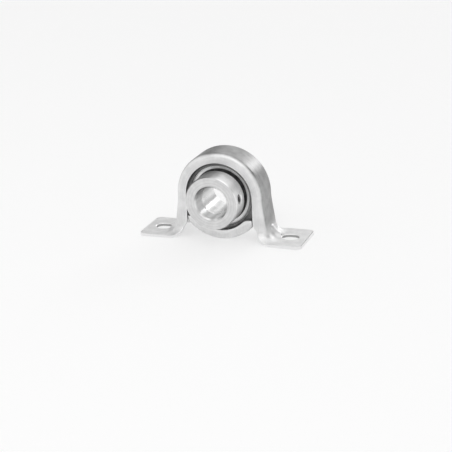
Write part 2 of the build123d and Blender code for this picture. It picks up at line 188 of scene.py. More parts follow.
class Bench:
    """A modeller's bench: each method is one step of work by hand, in millimetres."""

    MERGE = 1e-4
    WELD = 1e-3
    FLAT = 0.4

    @staticmethod
    def deselect() -> None:
        """Leaves nothing selected, in object mode."""
        if bpy.context.object and bpy.context.object.mode != "OBJECT":
            bpy.ops.object.mode_set(mode="OBJECT")
        bpy.ops.object.select_all(action="DESELECT")

    @staticmethod
    def pick(piece: Piece) -> None:
        """Makes one piece the only selected and active one.

        Args:
            piece: the piece.
        """
        Bench.deselect()
        piece.select_set(True)
        bpy.context.view_layer.objects.active = piece

    @staticmethod
    def open(piece: Piece, action: str = "SELECT") -> None:
        """Opens a piece for editing with all or nothing on it selected.

        Args:
            piece: the piece.
            action: what select_all then does.
        """
        Bench.pick(piece)
        bpy.ops.object.mode_set(mode="EDIT")
        bpy.ops.mesh.select_mode(type="VERT")
        bpy.ops.mesh.select_all(action="DESELECT")
        bpy.ops.mesh.select_all(action=action)

    @staticmethod
    def close() -> None:
        """Ends the editing of a piece."""
        bpy.ops.object.mode_set(mode="OBJECT")

    @staticmethod
    def select_levels(piece: Piece, *levels: int) -> None:
        """Selects an open piece's vertices at some heights, counted from the lowest.

        Args:
            piece: the piece.
            levels: the heights' places among all heights.
        """
        bpy.ops.mesh.select_all(action="DESELECT")
        mesh = bmesh.from_edit_mesh(piece.data)
        heights = sorted({round(vertex.co.z, 4) for vertex in mesh.verts})
        chosen = [heights[level] for level in levels]
        for vertex in mesh.verts:
            vertex.select = round(vertex.co.z, 4) in chosen
        mesh.select_flush(True)
        bmesh.update_edit_mesh(piece.data)

    @staticmethod
    def trace(name: str, places: list[Place], closed: bool = False) -> Piece:
        """Draws a line of edges by pulling one vertex from place to place.

        Args:
            name: the new object's name.
            places: where the line goes.
            closed: whether it ends where it started.

        Returns:
            The open wire, left in edit mode with its last vertex selected.
        """
        Bench.deselect()
        bpy.ops.mesh.primitive_plane_add(size=1.0, location=(0.0, 0.0, 0.0))
        piece = bpy.context.object
        piece.name = name
        bpy.ops.object.mode_set(mode="EDIT")
        bpy.ops.mesh.select_mode(type="VERT")
        bpy.ops.mesh.select_all(action="SELECT")
        bpy.ops.mesh.merge(type="CENTER")
        bpy.ops.transform.translate(value=places[0])
        route = places + places[:1] if closed else places
        for start, end in zip(route, route[1:]):
            step = tuple(b - a for a, b in zip(start, end))
            bpy.ops.mesh.extrude_region_move(TRANSFORM_OT_translate={"value": step})
        if closed:
            bpy.ops.mesh.select_all(action="SELECT")
            bpy.ops.mesh.remove_doubles(threshold=Bench.MERGE)
        return piece

    @staticmethod
    def line_of_selection(mesh: bmesh.types.BMesh) -> list[bmesh.types.BMVert]:
        """The selected line's vertices in order, from its end at the lower Y.

        Args:
            mesh: the mesh that is open.

        Returns:
            The vertices in order.
        """
        ends = [
            vertex
            for vertex in mesh.verts
            if vertex.select and sum(edge.select for edge in vertex.link_edges) == 1
        ]
        line = [min(ends, key=lambda vertex: vertex.co.y)]
        while True:
            ahead = [
                edge.other_vert(line[-1])
                for edge in line[-1].link_edges
                if edge.select and edge.other_vert(line[-1]) not in line[-2:-1]
            ]
            if not ahead:
                return line
            line.append(ahead[0])

    @staticmethod
    def sheet(name: str, stations: list[list[Place]]) -> Piece:
        """Draws the first station's line, then extrudes it to each next one in turn.

        Args:
            name: the new object's name.
            stations: lines with as many places each, from the lower Y to the higher.

        Returns:
            The open surface, in object mode.
        """
        piece = Bench.trace(name, stations[0])
        bpy.ops.mesh.select_all(action="SELECT")
        for station in stations[1:]:
            bpy.ops.mesh.extrude_region_move(TRANSFORM_OT_translate={"value": (0.0, 0.0, 0.0)})
            mesh = bmesh.from_edit_mesh(piece.data)
            for vertex, place in zip(Bench.line_of_selection(mesh), station):
                vertex.co = place
            bmesh.update_edit_mesh(piece.data)
        Bench.close()
        return piece

    @staticmethod
    def face_out(piece: Piece, inside: Vector | None = None) -> None:
        """Merges doubles and turns every face outwards.

        Args:
            piece: the piece.
            inside: for an open sheet, a point that its faces look away from.
        """
        Bench.open(piece)
        bpy.ops.mesh.remove_doubles(threshold=Bench.MERGE)
        bpy.ops.mesh.normals_make_consistent(inside=False)
        if inside is not None:
            mesh = bmesh.from_edit_mesh(piece.data)
            top = max(mesh.faces, key=lambda face: face.calc_center_median().z)
            if top.normal.dot(top.calc_center_median() - inside) < 0:
                bpy.ops.mesh.flip_normals()
        Bench.close()

    @staticmethod
    def lathe(name: str, profile: Profile, centre: Vector, axis: Vector, steps: int = 128) -> Piece:
        """Spins a closed outline about an axis.

        Args:
            name: the new object's name.
            profile: (radius, distance along the axis) pairs round the section.
            centre: a point on the axis that distances are counted from.
            axis: the direction of the axis.
            steps: flats round the turn.

        Returns:
            The closed ring or, where the outline touches the axis, solid.
        """
        along = axis.normalized()
        across = along.orthogonal().normalized() if abs(along.y) < 0.9 else Vector((1, 0, 0))
        places = [tuple(centre + across * radius + along * way) for radius, way in profile]
        piece = Bench.trace(name, places, closed=True)
        bpy.ops.mesh.select_all(action="SELECT")
        bpy.ops.mesh.spin(
            steps=steps, angle=2 * math.pi, center=tuple(centre), axis=tuple(along)
        )
        Bench.face_out(piece)
        return piece

    @staticmethod
    def prism(name: str, outline: list[Place], depth: Vector) -> Piece:
        """Fills a closed outline and extrudes it.

        Args:
            name: the new object's name.
            outline: the corners of the face, in one plane.
            depth: how far and which way it is extruded.

        Returns:
            The closed prism.
        """
        piece = Bench.trace(name, outline, closed=True)
        bpy.ops.mesh.select_all(action="SELECT")
        bpy.ops.mesh.edge_face_add()
        bpy.ops.mesh.extrude_region_move(TRANSFORM_OT_translate={"value": tuple(depth)})
        Bench.face_out(piece)
        return piece

    @staticmethod
    def skin(name: str, rings: list[list[Place]]) -> Piece:
        """Bridges closed outlines in turn and caps both ends.

        Args:
            name: the new object's name.
            rings: outlines with as many places each.

        Returns:
            The closed body.
        """
        piece = Bench.trace(name, rings[0], closed=True)
        for ring in rings[1:]:
            other = Bench.trace(f"{name}_ring", ring, closed=True)
            Bench.close()
            Bench.pick(other)
            piece.select_set(True)
            bpy.context.view_layer.objects.active = piece
            bpy.ops.object.join()
        Bench.open(piece, "DESELECT")
        for number in range(len(rings) - 1):
            Bench.select_levels(piece, number, number + 1)
            bpy.ops.mesh.bridge_edge_loops()
        for number in (0, -1):
            Bench.select_levels(piece, number)
            bpy.ops.mesh.edge_face_add()
        Bench.face_out(piece)
        return piece

    @staticmethod
    def apply(piece: Piece, kind: str, **settings: object) -> None:
        """Adds a modifier with these settings and applies it.

        Args:
            piece: the piece.
            kind: the modifier's type.
            settings: its properties.
        """
        Bench.pick(piece)
        modifier = piece.modifiers.new(kind.lower(), kind)
        for key, value in settings.items():
            setattr(modifier, key, value)
        bpy.ops.object.modifier_apply(modifier=modifier.name)

    @staticmethod
    def combine(piece: Piece, *tools: Piece, way: str = "DIFFERENCE") -> None:
        """Cuts, joins or intersects a piece with tools, which are used up.

        Args:
            piece: the piece.
            tools: the tools, in order.
            way: the Boolean operation.
        """
        for tool in tools:
            Bench.apply(piece, "BOOLEAN", operation=way, solver="EXACT", object=tool)
            bpy.data.objects.remove(tool)
        Bench.open(piece)
        bpy.ops.mesh.remove_doubles(threshold=Bench.WELD)
        bpy.ops.mesh.dissolve_degenerate(threshold=Bench.WELD)
        Bench.close()

    @staticmethod
    def join_flats(piece: Piece) -> None:
        """Joins the faces that lie in one plane, so that only real edges are left.

        Args:
            piece: the piece.
        """
        Bench.open(piece)
        bpy.ops.mesh.dissolve_limited(angle_limit=math.radians(Bench.FLAT))
        Bench.close()

    @staticmethod
    def break_edges(piece: Piece, width: float, limit: float, segments: int = 2) -> None:
        """Breaks the sharp edges of a piece.

        Args:
            piece: the piece.
            width: the size of the broken edge.
            limit: the angle in degrees past which an edge is broken.
            segments: flats round the edge.
        """
        Bench.apply(
            piece, "BEVEL", width=width, segments=segments, limit_method="ANGLE",
            angle_limit=math.radians(limit), use_clamp_overlap=False, miter_outer="MITER_ARC",
        )

    @staticmethod
    def finish(piece: Piece, shading: Shading) -> Piece:
        """Brings a piece to metres, with its place in its mesh, and shades it.

        Args:
            piece: a piece modelled in millimetres.
            shading: how its edges are shaded.

        Returns:
            The same piece.
        """
        Bench.pick(piece)
        piece.scale = (MM, MM, MM)
        bpy.ops.object.transform_apply(location=True, rotation=True, scale=True)
        bpy.ops.object.shade_smooth_by_angle(angle=math.radians(shading.value))
        Bench.apply(piece, "WEIGHTED_NORMAL", keep_sharp=True, weight=60)
        Bench.deselect()
        return piece


def rounded(corners: list[Place], flats: int = 4, hold: float = 0.0) -> Profile:
    """Rounds the corners of a closed outline.

    Args:
        corners: (radius, distance along, round) for each corner, where a round of 0 is sharp.
        flats: pieces that each round is made of.
        hold: how far from each round an extra point keeps the flats beside it flat.

    Returns:
        The outline's points.
    """
    points: Profile = []
    for number, (x, y, size) in enumerate(corners):
        here = Vector((x, y))
        before = Vector(corners[number - 1][:2]) - here
        after = Vector(corners[(number + 1) % len(corners)][:2]) - here
        half = before.angle(after) / 2
        reach = size / math.tan(half)
        back, onward = (
            here + side.normalized() * (reach + hold) if side.length > 3 * (reach + hold) else None
            for side in (before, after)
        )
        if hold and back:
            points.append(tuple(back))
        if size <= 0:
            points.append((x, y))
        else:
            middle = here + (before.normalized() + after.normalized()).normalized() * (
                size / math.sin(half)
            )
            first = here + before.normalized() * reach - middle
            turn = first.angle_signed(here + after.normalized() * reach - middle)
            for step in range(flats + 1):
                arm = first.copy()
                arm.rotate(Matrix.Rotation(-turn * step / flats, 2))
                points.append(tuple(middle + arm))
        if hold and onward:
            points.append(tuple(onward))
    return points


def arc(
    centre: tuple[float, float], radius: float, start: float, end: float, flats: int
) -> Profile:
    """Points on an arc, from one angle to another in radians.

    Args:
        centre: the arc's centre.
        radius: its radius.
        start: the first angle.
        end: the last angle.
        flats: how many flats it is made of.

    Returns:
        The points, one more than the flats.
    """
    angles = [start + (end - start) * step / flats for step in range(flats + 1)]
    return [
        (centre[0] + radius * math.cos(angle), centre[1] + radius * math.sin(angle))
        for angle in angles
    ]


# ------------------------------------------------------------------------------- shading desk
def grey(level: float) -> tuple[float, float, float, float]:
    """A neutral grey as a colour socket takes it."""
    return (level, level, level, 1.0)


class NodeDesk:
    """Lays out and joins the nodes of one shader tree."""

    COLUMN = 190.0

    def __init__(self, tree: Tree) -> None:
        """Clears a tree and starts laying nodes in it.

        Args:
            tree: the shader tree.
        """
        self.tree = tree
        self.tree.nodes.clear()
        self.count = 0

    def add(
        self, kind: str, inputs: dict[str | int, object] | None = None, **settings: object
    ) -> Node:
        """Adds one node.

        Args:
            kind: the node's type name without its ShaderNode prefix.
            inputs: values or sockets for its inputs, by name or place.
            settings: properties of the node itself.

        Returns:
            The node.
        """
        node = self.tree.nodes.new("ShaderNode" + kind)
        node.location = (self.COLUMN * self.count, 0.0)
        self.count += 1
        for key, value in settings.items():
            setattr(node, key, value)
        for key, value in (inputs or {}).items():
            if isinstance(value, Socket):
                self.tree.links.new(value, node.inputs[key])
            else:
                node.inputs[key].default_value = value
        return node

    def math(self, way: str, *values: object) -> Socket:
        """The result of one Math node."""
        return self.add("Math", dict(enumerate(values)), operation=way).outputs[0]

    def blend(self, *parts: tuple[object, float]) -> Socket:
        """The sum of values, each times its share.

        Args:
            parts: (value, share) pairs.

        Returns:
            The sum.
        """
        *first, last = parts
        total = self.math("MULTIPLY", *last)
        for value, share in reversed(first):
            total = self.math("MULTIPLY_ADD", value, share, total)
        return total

    def spread(
        self, value: object, start: float, end: float, low: float = 0.0, high: float = 1.0
    ) -> Socket:
        """Maps a value from start..end smoothly to low..high.

        Args:
            value: the value.
            start: where it starts.
            end: where it ends.
            low: what the start becomes.
            high: what the end becomes.

        Returns:
            The mapped value.
        """
        node = self.add(
            "MapRange",
            {"Value": value, "From Min": start, "From Max": end, "To Min": low, "To Max": high},
            interpolation_type="SMOOTHSTEP",
        )
        return node.outputs["Result"]

    def noise(
        self, place: object, scale: float, detail: float = 3.0, rough: float = 0.5,
        dimensions: str = "3D",
    ) -> Socket:
        """Noise from 0 to 1 at a place, or along a line where dimensions is 1D.

        Args:
            place: the place, or the way along a line.
            scale: how close together it is.
            detail: how many finer layers it has.
            rough: how strong they are.
            dimensions: 3D or 1D.

        Returns:
            The noise.
        """
        key = "W" if dimensions == "1D" else "Vector"
        inputs = {key: place, "Scale": scale, "Detail": detail, "Roughness": rough}
        return self.add("TexNoise", inputs, noise_dimensions=dimensions).outputs["Fac"]

    def shades(self, factor: object, dark: float, light: float) -> Socket:
        """A grey between two levels.

        Args:
            factor: 0 for the dark level and 1 for the light.
            dark: the dark level.
            light: the light level.

        Returns:
            The colour.
        """
        mix = self.add("Mix", data_type="RGBA")
        self.link(factor, mix.inputs["Factor"])
        mix.inputs[6].default_value = grey(dark)
        mix.inputs[7].default_value = grey(light)
        return mix.outputs[2]

    def ramp(self, value: object, stops: Stops) -> Socket:
        """A grey level that eases from stop to stop as a value goes from 0 to 1.

        Args:
            value: the value.
            stops: (place, level) pairs from 0 to 1.

        Returns:
            The colour.
        """
        node = self.add("ValToRGB", {"Fac": value})
        node.color_ramp.interpolation = "EASE"
        bar = node.color_ramp.elements
        bar[0].position, bar[1].position = stops[0][0], stops[-1][0]
        for place, _ in stops[1:-1]:
            bar.new(place)
        for element, (_, level) in zip(bar, stops):
            element.color = grey(level)
        return node.outputs["Color"]

    def link(self, value: object, socket: Socket) -> None:
        """Feeds a socket from another socket or sets its value.

        Args:
            value: a socket or a plain value.
            socket: the socket that takes it.
        """
        if isinstance(value, Socket):
            self.tree.links.new(value, socket)
        else:
            socket.default_value = value

    def group(self, made: Tree, **inputs: object) -> Node:
        """Places a shared effect with its own values.

        Args:
            made: the effect's group.
            inputs: its inputs by name.

        Returns:
            The group's node.
        """
        node = self.add("Group")
        node.node_tree = made
        for key, value in inputs.items():
            self.link(value, node.inputs[key])
        return node


class Effects:
    """Effects that several finishes share, each a node group that is built once."""

    # Painted reflection streaks and painted shade, as brightness by the turn about the shaft: from
    # -X, under the shaft, to +X at 0.5, over the top; darkest over the upper left and dark again at
    # the lower right.
    PAINTED_STREAK_STOPS: Stops = (
        (0.0, 0.85), (0.04, 1.0), (0.08, 0.8), (0.12, 1.0), (0.165, 0.7), (0.215, 1.0),
        (0.25, 0.75), (0.285, 0.95), (0.33, 0.5), (0.37, 0.1), (0.42, 0.35), (0.455, 0.8),
        (0.5, 1.0), (0.565, 1.0), (0.6, 0.85), (0.64, 1.0), (0.69, 1.0), (0.73, 0.5),
        (0.76, 0.2), (0.8, 0.05), (0.85, 0.0), (0.9, 0.0), (0.95, 0.3), (1.0, 0.85),
    )

    def __init__(self, datum: Datum) -> None:
        """Builds every shared effect about the bearing's centre.

        Args:
            datum: the frame's datums.
        """
        self.datum = datum
        self.place = self.make_place()
        self.wear_and_hollow_shade = self.make_wear_and_hollow_shade()
        self.mottle = self.make_mottle()
        self.tool_lines = self.make_tool_lines()
        self.painted_streaks = self.make_painted_streaks()
        self.rolled_web = self.make_painted_web_shade()

    @staticmethod
    def start(
        name: str, inputs: dict[str, float], outputs: tuple[str, ...]
    ) -> tuple[NodeDesk, Node, Node]:
        """Starts a group.

        Args:
            name: the effect's name.
            inputs: its values and their usual settings.
            outputs: the names of the values it puts out, where Place is a vector.

        Returns:
            The desk, and the nodes of the group's inputs and outputs.
        """
        tree = bpy.data.node_groups.new(name, "ShaderNodeTree")
        for key, usual in inputs.items():
            socket = tree.interface.new_socket(key, in_out="INPUT", socket_type="NodeSocketFloat")
            socket.default_value = usual
        for key in outputs:
            kind = "NodeSocketVector" if key == "Place" else "NodeSocketFloat"
            tree.interface.new_socket(key, in_out="OUTPUT", socket_type=kind)
        desk = NodeDesk(tree)
        source = tree.nodes.new("NodeGroupInput")
        target = tree.nodes.new("NodeGroupOutput")
        return desk, source, target

    @staticmethod
    def end(desk: NodeDesk, target: Node, **values: Socket) -> Tree:
        """Feeds a group's outputs by name and gives the group back.

        Args:
            desk: the group's desk.
            target: its output node.
            values: the outputs by name.

        Returns:
            The node group.
        """
        for key, value in values.items():
            desk.link(value, target.inputs[key])
        return desk.tree

    def make_place(self) -> Tree:
        """Millimetres from the bearing's centre, the distance from the shaft's axis and along it,
        and a distance that stays even along the sheet, round the arch and down the legs.

        Returns:
            The node group.
        """
        desk, _, target = self.start("bearing_place", {}, ("Place", "Radius", "Along", "Run"))
        here = desk.add("TexCoord").outputs["Object"]
        moved = desk.add(
            "Mapping",
            {
                "Vector": here,
                "Location": (0.0, 0.0, -self.datum.axis_height),
                "Scale": (1 / MM, 1 / MM, 1 / MM),
            },
        ).outputs[0]
        parts = desk.add("SeparateXYZ", {0: moved})
        x, y, z = (parts.outputs[key] for key in "XYZ")
        above = desk.math("MAXIMUM", z, 0.0)
        flat = desk.math("MULTIPLY", x, x)
        round_arch = desk.math("SQRT", desk.math("MULTIPLY_ADD", above, above, flat))
        radius = desk.math("SQRT", desk.math("MULTIPLY_ADD", z, z, flat))
        return self.end(desk, target, Place=moved, Radius=radius, Along=y, Run=round_arch)

    def make_wear_and_hollow_shade(self) -> Tree:
        """A mask that is 1 on worn outward edges, and one that is 1 in the hollows, which a finish
        darkens there as painted shade.

        Returns:
            The node group.
        """
        desk, source, target = self.start(
            "wear_and_hollow_shade", {"Reach": 0.06, "Breakup": 0.5}, ("Worn", "Hollow")
        )
        point = desk.add("NewGeometry").outputs["Pointiness"]
        place = desk.group(self.place).outputs["Place"]
        flecks = desk.noise(place, scale=0.9, detail=4.0, rough=0.6)
        over = desk.math("SUBTRACT", point, 0.5)
        sharp = desk.math("DIVIDE", over, source.outputs["Reach"])
        even = desk.math("SUBTRACT", flecks, 0.5)
        ragged = desk.math("MULTIPLY", even, source.outputs["Breakup"])
        edge = desk.math("MULTIPLY", sharp, desk.math("ADD", ragged, 1.0))
        hollow = desk.spread(sharp, -0.1, -1.0)
        return self.end(desk, target, Worn=desk.spread(edge, 0.15, 1.0), Hollow=hollow)

    def make_mottle(self) -> Tree:
        """Cloudy patches and a fine grain from 0 to 1.

        Returns:
            The node group.
        """
        desk, source, target = self.start(
            "mottle", {"Patch": 0.12, "Grain": 3.0}, ("Cloud", "Speckle")
        )
        place = desk.group(self.place).outputs["Place"]
        cloud = desk.add("TexNoise", {"Vector": place, "Detail": 3.0, "Roughness": 0.55})
        speckle = desk.add("TexNoise", {"Vector": place, "Detail": 2.0, "Roughness": 0.6})
        desk.link(source.outputs["Patch"], cloud.inputs["Scale"])
        desk.link(source.outputs["Grain"], speckle.inputs["Scale"])
        patches = desk.spread(cloud.outputs["Fac"], 0.3, 0.7)
        return self.end(desk, target, Cloud=patches, Speckle=speckle.outputs["Fac"])

    def make_painted_web_shade(self) -> Tree:
        """A mask that is 1 on the web of a channel and 0 on its flanges and feet, for a darker web
        colour painted as shade.

        Returns:
            The node group.
        """
        desk, source, target = self.start("rolled_web", {"Low": -24.0, "High": -15.0}, ("Web",))
        across = desk.add("SeparateXYZ", {0: desk.add("NewGeometry").outputs["Normal"]})
        flat = desk.spread(desk.math("ABSOLUTE", across.outputs["Y"]), 0.3, 0.75, 1.0, 0.0)
        height = desk.add("SeparateXYZ", {0: desk.group(self.place).outputs["Place"]})
        above = desk.add(
            "MapRange", {"Value": height.outputs["Z"], "To Min": 0.0, "To Max": 1.0},
            interpolation_type="SMOOTHSTEP",
        )
        desk.link(source.outputs["Low"], above.inputs["From Min"])
        desk.link(source.outputs["High"], above.inputs["From Max"])
        return self.end(desk, target, Web=desk.math("MULTIPLY", flat, above.outputs["Result"]))

    def make_painted_streaks(self) -> Tree:
        """Soft streaks along the shaft: painted reflections and painted shade, set by the turn
        about it.

        Returns:
            The node group.
        """
        desk, _, target = self.start("painted_reflection_streaks", {}, ("Streak",))
        parts = desk.add("SeparateXYZ", {0: desk.group(self.place).outputs["Place"]})
        turn = desk.math("ARCTAN2", parts.outputs["Z"], parts.outputs["X"])
        share = desk.math("MULTIPLY_ADD", turn, 0.5 / math.pi, 0.5)
        return self.end(desk, target, Streak=desk.ramp(share, self.PAINTED_STREAK_STOPS))

    def make_tool_lines(self) -> Tree:
        """Fine lines left by a tool on turned work: rings on a face, and hoops on a round side.

        Returns:
            The node group.
        """
        desk, source, target = self.start(
            "tool_lines", {"Lines per mm": 9.0, "Waver": 0.05}, ("Line", "Band")
        )
        where = desk.group(self.place)
        facing = desk.add("SeparateXYZ", {0: desk.add("NewGeometry").outputs["True Normal"]})
        on_face = desk.math("GREATER_THAN", desk.math("ABSOLUTE", facing.outputs["Y"]), 0.7)
        side_share = desk.math("SUBTRACT", 1.0, on_face)
        face_way = desk.math("MULTIPLY", where.outputs["Radius"], on_face)
        way = desk.math("MULTIPLY_ADD", where.outputs["Along"], side_share, face_way)
        drift = desk.noise(where.outputs["Place"], scale=0.35, detail=1.0)
        waver = desk.math("MULTIPLY", drift, source.outputs["Waver"])
        line = desk.math("ADD", way, waver)
        fine = desk.add(
            "TexNoise", {"W": line, "Detail": 2.0, "Roughness": 0.7}, noise_dimensions="1D"
        )
        desk.link(source.outputs["Lines per mm"], fine.inputs["Scale"])
        broad = desk.noise(line, scale=1.1, detail=1.0, dimensions="1D")
        return self.end(desk, target, Line=fine.outputs["Fac"], Band=broad)


# -------------------------------------------------------------------------------------- finishes
@dataclass(frozen=True)
class Finish:
    """A surface finish.  Each kind paints its own material from its own values."""

    name: str
    slot: str
    dark: float
    light: float
    metallic: float
    smooth: float
    rough: float

    def start(self) -> tuple[NodeDesk, Node]:
        """A new material's desk and its shader, joined to the output.

        Returns:
            The desk and the shader.
        """
        material = bpy.data.materials.new(self.name)
        material.use_nodes = True
        desk = NodeDesk(material.node_tree)
        shader = desk.add("BsdfPrincipled")
        shader.inputs["Metallic"].default_value = self.metallic
        desk.add("OutputMaterial", {"Surface": shader.outputs[0]})
        return desk, shader

    def material(self, effects: Effects) -> bpy.types.Material:
        """The finish as a material, made once.

        Args:
            effects: the shared effects.

        Returns:
            The material.
        """
        made = bpy.data.materials.get(self.name)
        if made is None:
            desk, shader = self.start()
            self.paint(desk, shader, effects)
            made = bpy.data.materials[self.name]
        return made

    def paint(self, desk: NodeDesk, shader: Node, effects: Effects) -> None:
        """Feeds the shader's colour, roughness and normal."""
        raise NotImplementedError

    def cloud(self, desk: NodeDesk, shader: Node, tone: Socket, cloud: Socket) -> None:
        """Feeds the shader's colour from a tone and its roughness from the cloudy patches."""
        desk.link(desk.shades(tone, self.dark, self.light), shader.inputs["Base Color"])
        desk.link(desk.spread(cloud, 0.0, 1.0, self.smooth, self.rough), shader.inputs["Roughness"])

    @staticmethod
    def relief(desk: NodeDesk, shader: Node, height: Socket, depth: float) -> None:
        """Gives the shader a bump whose height of 0 to 1 is depth metres deep."""
        bump = desk.add("Bump", {"Strength": 1.0, "Distance": depth, "Height": height})
        desk.link(bump.outputs[0], shader.inputs["Normal"])


@dataclass(frozen=True)
class PressedZinc(Finish):
    """Zinc-plated pressed sheet: satin, clouded, drawn in streaks, with bright edges, painted shade
    in its hollows and a web painted darker as shade.
    """

    streak_depth: float = 0.000018
    run_scale: float = 1.3
    fall_scale: float = 0.05
    shaded_web_dark: float = 0.24
    shaded_web_light: float = 0.43
    web_polish: float = 0.16

    def paint(self, desk: NodeDesk, shader: Node, effects: Effects) -> None:
        """Feeds the shader's colour, roughness and normal.

        Args:
            desk: the material's desk.
            shader: its shader.
            effects: the shared effects.
        """
        where = desk.group(effects.place)
        run = desk.add(
            "CombineXYZ",
            {
                "X": desk.blend((where.outputs["Run"], self.run_scale)),
                "Y": desk.blend((where.outputs["Along"], self.run_scale)),
            },
        ).outputs[0]
        parts = desk.add("SeparateXYZ", {0: where.outputs["Place"]})
        fall = desk.add("CombineXYZ", {"Z": desk.blend((parts.outputs["Z"], self.fall_scale))})
        drawn = desk.add("VectorMath", {0: run, 1: fall.outputs[0]}, operation="ADD").outputs[0]
        streak = desk.noise(drawn, scale=1.0, detail=4.0, rough=0.62)
        mottle = desk.group(effects.mottle, Patch=0.16, Grain=2.6)
        wear_and_shade = desk.group(effects.wear_and_hollow_shade, Reach=0.05, Breakup=0.8)
        cloud, speckle = mottle.outputs["Cloud"], mottle.outputs["Speckle"]
        worn = wear_and_shade.outputs["Worn"]
        tone = desk.blend((worn, 0.5), (streak, 0.55), (cloud, 0.35), (speckle, 0.2))
        # Hollows are darkened as painted shade.
        tone = desk.math("SUBTRACT", tone, desk.blend((wear_and_shade.outputs["Hollow"], 0.6)))
        # The web takes a darker copy of the colour as painted shade, which fades out down the legs
        # towards the feet.
        web = desk.group(effects.rolled_web).outputs["Web"]
        tone = desk.spread(tone, 0.2, 0.9)
        painted_light = desk.shades(tone, self.dark, self.light)
        shaded_web_colour = desk.shades(tone, self.shaded_web_dark, self.shaded_web_light)
        both = desk.add("Mix", {"Factor": web, 6: painted_light, 7: shaded_web_colour}, data_type="RGBA")
        desk.link(both.outputs[2], shader.inputs["Base Color"])
        gloss = desk.blend((streak, 0.5), (cloud, 0.5))
        gloss = desk.math("SUBTRACT", gloss, desk.blend((worn, 0.4)))
        rough = desk.spread(gloss, 0.1, 0.9, self.smooth, self.rough)
        rough = desk.math("MULTIPLY_ADD", web, -self.web_polish, rough)
        desk.link(rough, shader.inputs["Roughness"])
        height = desk.blend((streak, 0.6), (speckle, 0.4))
        self.relief(desk, shader, height, self.streak_depth)


@dataclass(frozen=True)
class TurnedSteel(Finish):
    """Turned steel with tool lines, edges rubbed bright and, where set, painted reflection streaks
    and painted shade along the shaft.
    """

    lines_per_mm: float = 2.4
    line_depth: float = 0.0000015
    anisotropic: float = 0.85
    rubbed: float = 0.5
    painted_light: float = 0.0

    def paint(self, desk: NodeDesk, shader: Node, effects: Effects) -> None:
        """Feeds the shader's colour, roughness and normal.

        Args:
            desk: the material's desk.
            shader: its shader.
            effects: the shared effects.
        """
        lines = desk.group(effects.tool_lines)
        lines.inputs["Lines per mm"].default_value = self.lines_per_mm
        mottle = desk.group(effects.mottle, Patch=0.22, Grain=1.6)
        wear_and_shade = desk.group(effects.wear_and_hollow_shade, Reach=0.06, Breakup=0.5)
        cloud, line = mottle.outputs["Cloud"], lines.outputs["Line"]
        tone = desk.blend(
            (wear_and_shade.outputs["Worn"], self.rubbed), (lines.outputs["Band"], 0.35), (cloud, 0.3),
            (line, 0.3),
        )
        tone = desk.spread(tone, 0.2, 0.85)
        # Painted reflection streaks and painted shade, by the turn about the shaft, are mixed into
        # the tone.
        if self.painted_light:
            streak = desk.group(effects.painted_streaks).outputs["Streak"]
            tone = desk.blend((streak, self.painted_light), (tone, 1 - self.painted_light))
        desk.link(desk.shades(tone, self.dark, self.light), shader.inputs["Base Color"])
        gloss = desk.blend((cloud, 0.6), (line, 0.4))
        desk.link(desk.spread(gloss, 0.1, 0.9, self.smooth, self.rough), shader.inputs["Roughness"])
        shader.inputs["Anisotropic"].default_value = self.anisotropic
        if self.anisotropic:
            # A quarter turn lays the streaks along the shaft, across the tool's hoops.
            shader.inputs["Anisotropic Rotation"].default_value = 0.25
            turn = desk.add("Tangent", direction_type="RADIAL", axis="Y")
            desk.link(turn.outputs[0], shader.inputs["Tangent"])
        self.relief(desk, shader, line, self.line_depth)


@dataclass(frozen=True)
class MouldedRubber(Finish):
    """Moulded rubber or plastic: dark, matt and faintly bloomed, lighter on its edges."""

    grain_depth: float = 0.00003
    specular: float = 0.35

    def paint(self, desk: NodeDesk, shader: Node, effects: Effects) -> None:
        """Feeds the shader's colour, roughness and normal.

        Args:
            desk: the material's desk.
            shader: its shader.
            effects: the shared effects.
        """
        mottle = desk.group(effects.mottle, Patch=0.3, Grain=5.0)
        wear_and_shade = desk.group(effects.wear_and_hollow_shade, Reach=0.08, Breakup=0.6)
        cloud, speckle = mottle.outputs["Cloud"], mottle.outputs["Speckle"]
        bloom = desk.blend((wear_and_shade.outputs["Worn"], 0.5), (cloud, 0.6), (speckle, 0.4))
        self.cloud(desk, shader, desk.spread(bloom, 0.2, 1.0), cloud)
        shader.inputs["Specular IOR Level"].default_value = self.specular
        self.relief(desk, shader, speckle, self.grain_depth)


@dataclass(frozen=True)
class PlainMetal(Finish):
    """Plain metal, blackened or polished, or painted dark as shade: clouded over a fine grain, with
    lighter edges.
    """

    grain: float = 4.0
    grain_depth: float = 0.000004
    rubbed: float = 0.7

    def paint(self, desk: NodeDesk, shader: Node, effects: Effects) -> None:
        """Feeds the shader's colour, roughness and normal.

        Args:
            desk: the material's desk.
            shader: its shader.
            effects: the shared effects.
        """
        mottle = desk.group(effects.mottle, Patch=0.4, Grain=self.grain)
        wear_and_shade = desk.group(effects.wear_and_hollow_shade, Reach=0.06, Breakup=0.7)
        cloud, speckle = mottle.outputs["Cloud"], mottle.outputs["Speckle"]
        tone = desk.blend((wear_and_shade.outputs["Worn"], self.rubbed), (cloud, 0.4), (speckle, 0.25))
        self.cloud(desk, shader, desk.spread(tone, 0.1, 1.0), cloud)
        self.relief(desk, shader, speckle, self.grain_depth)


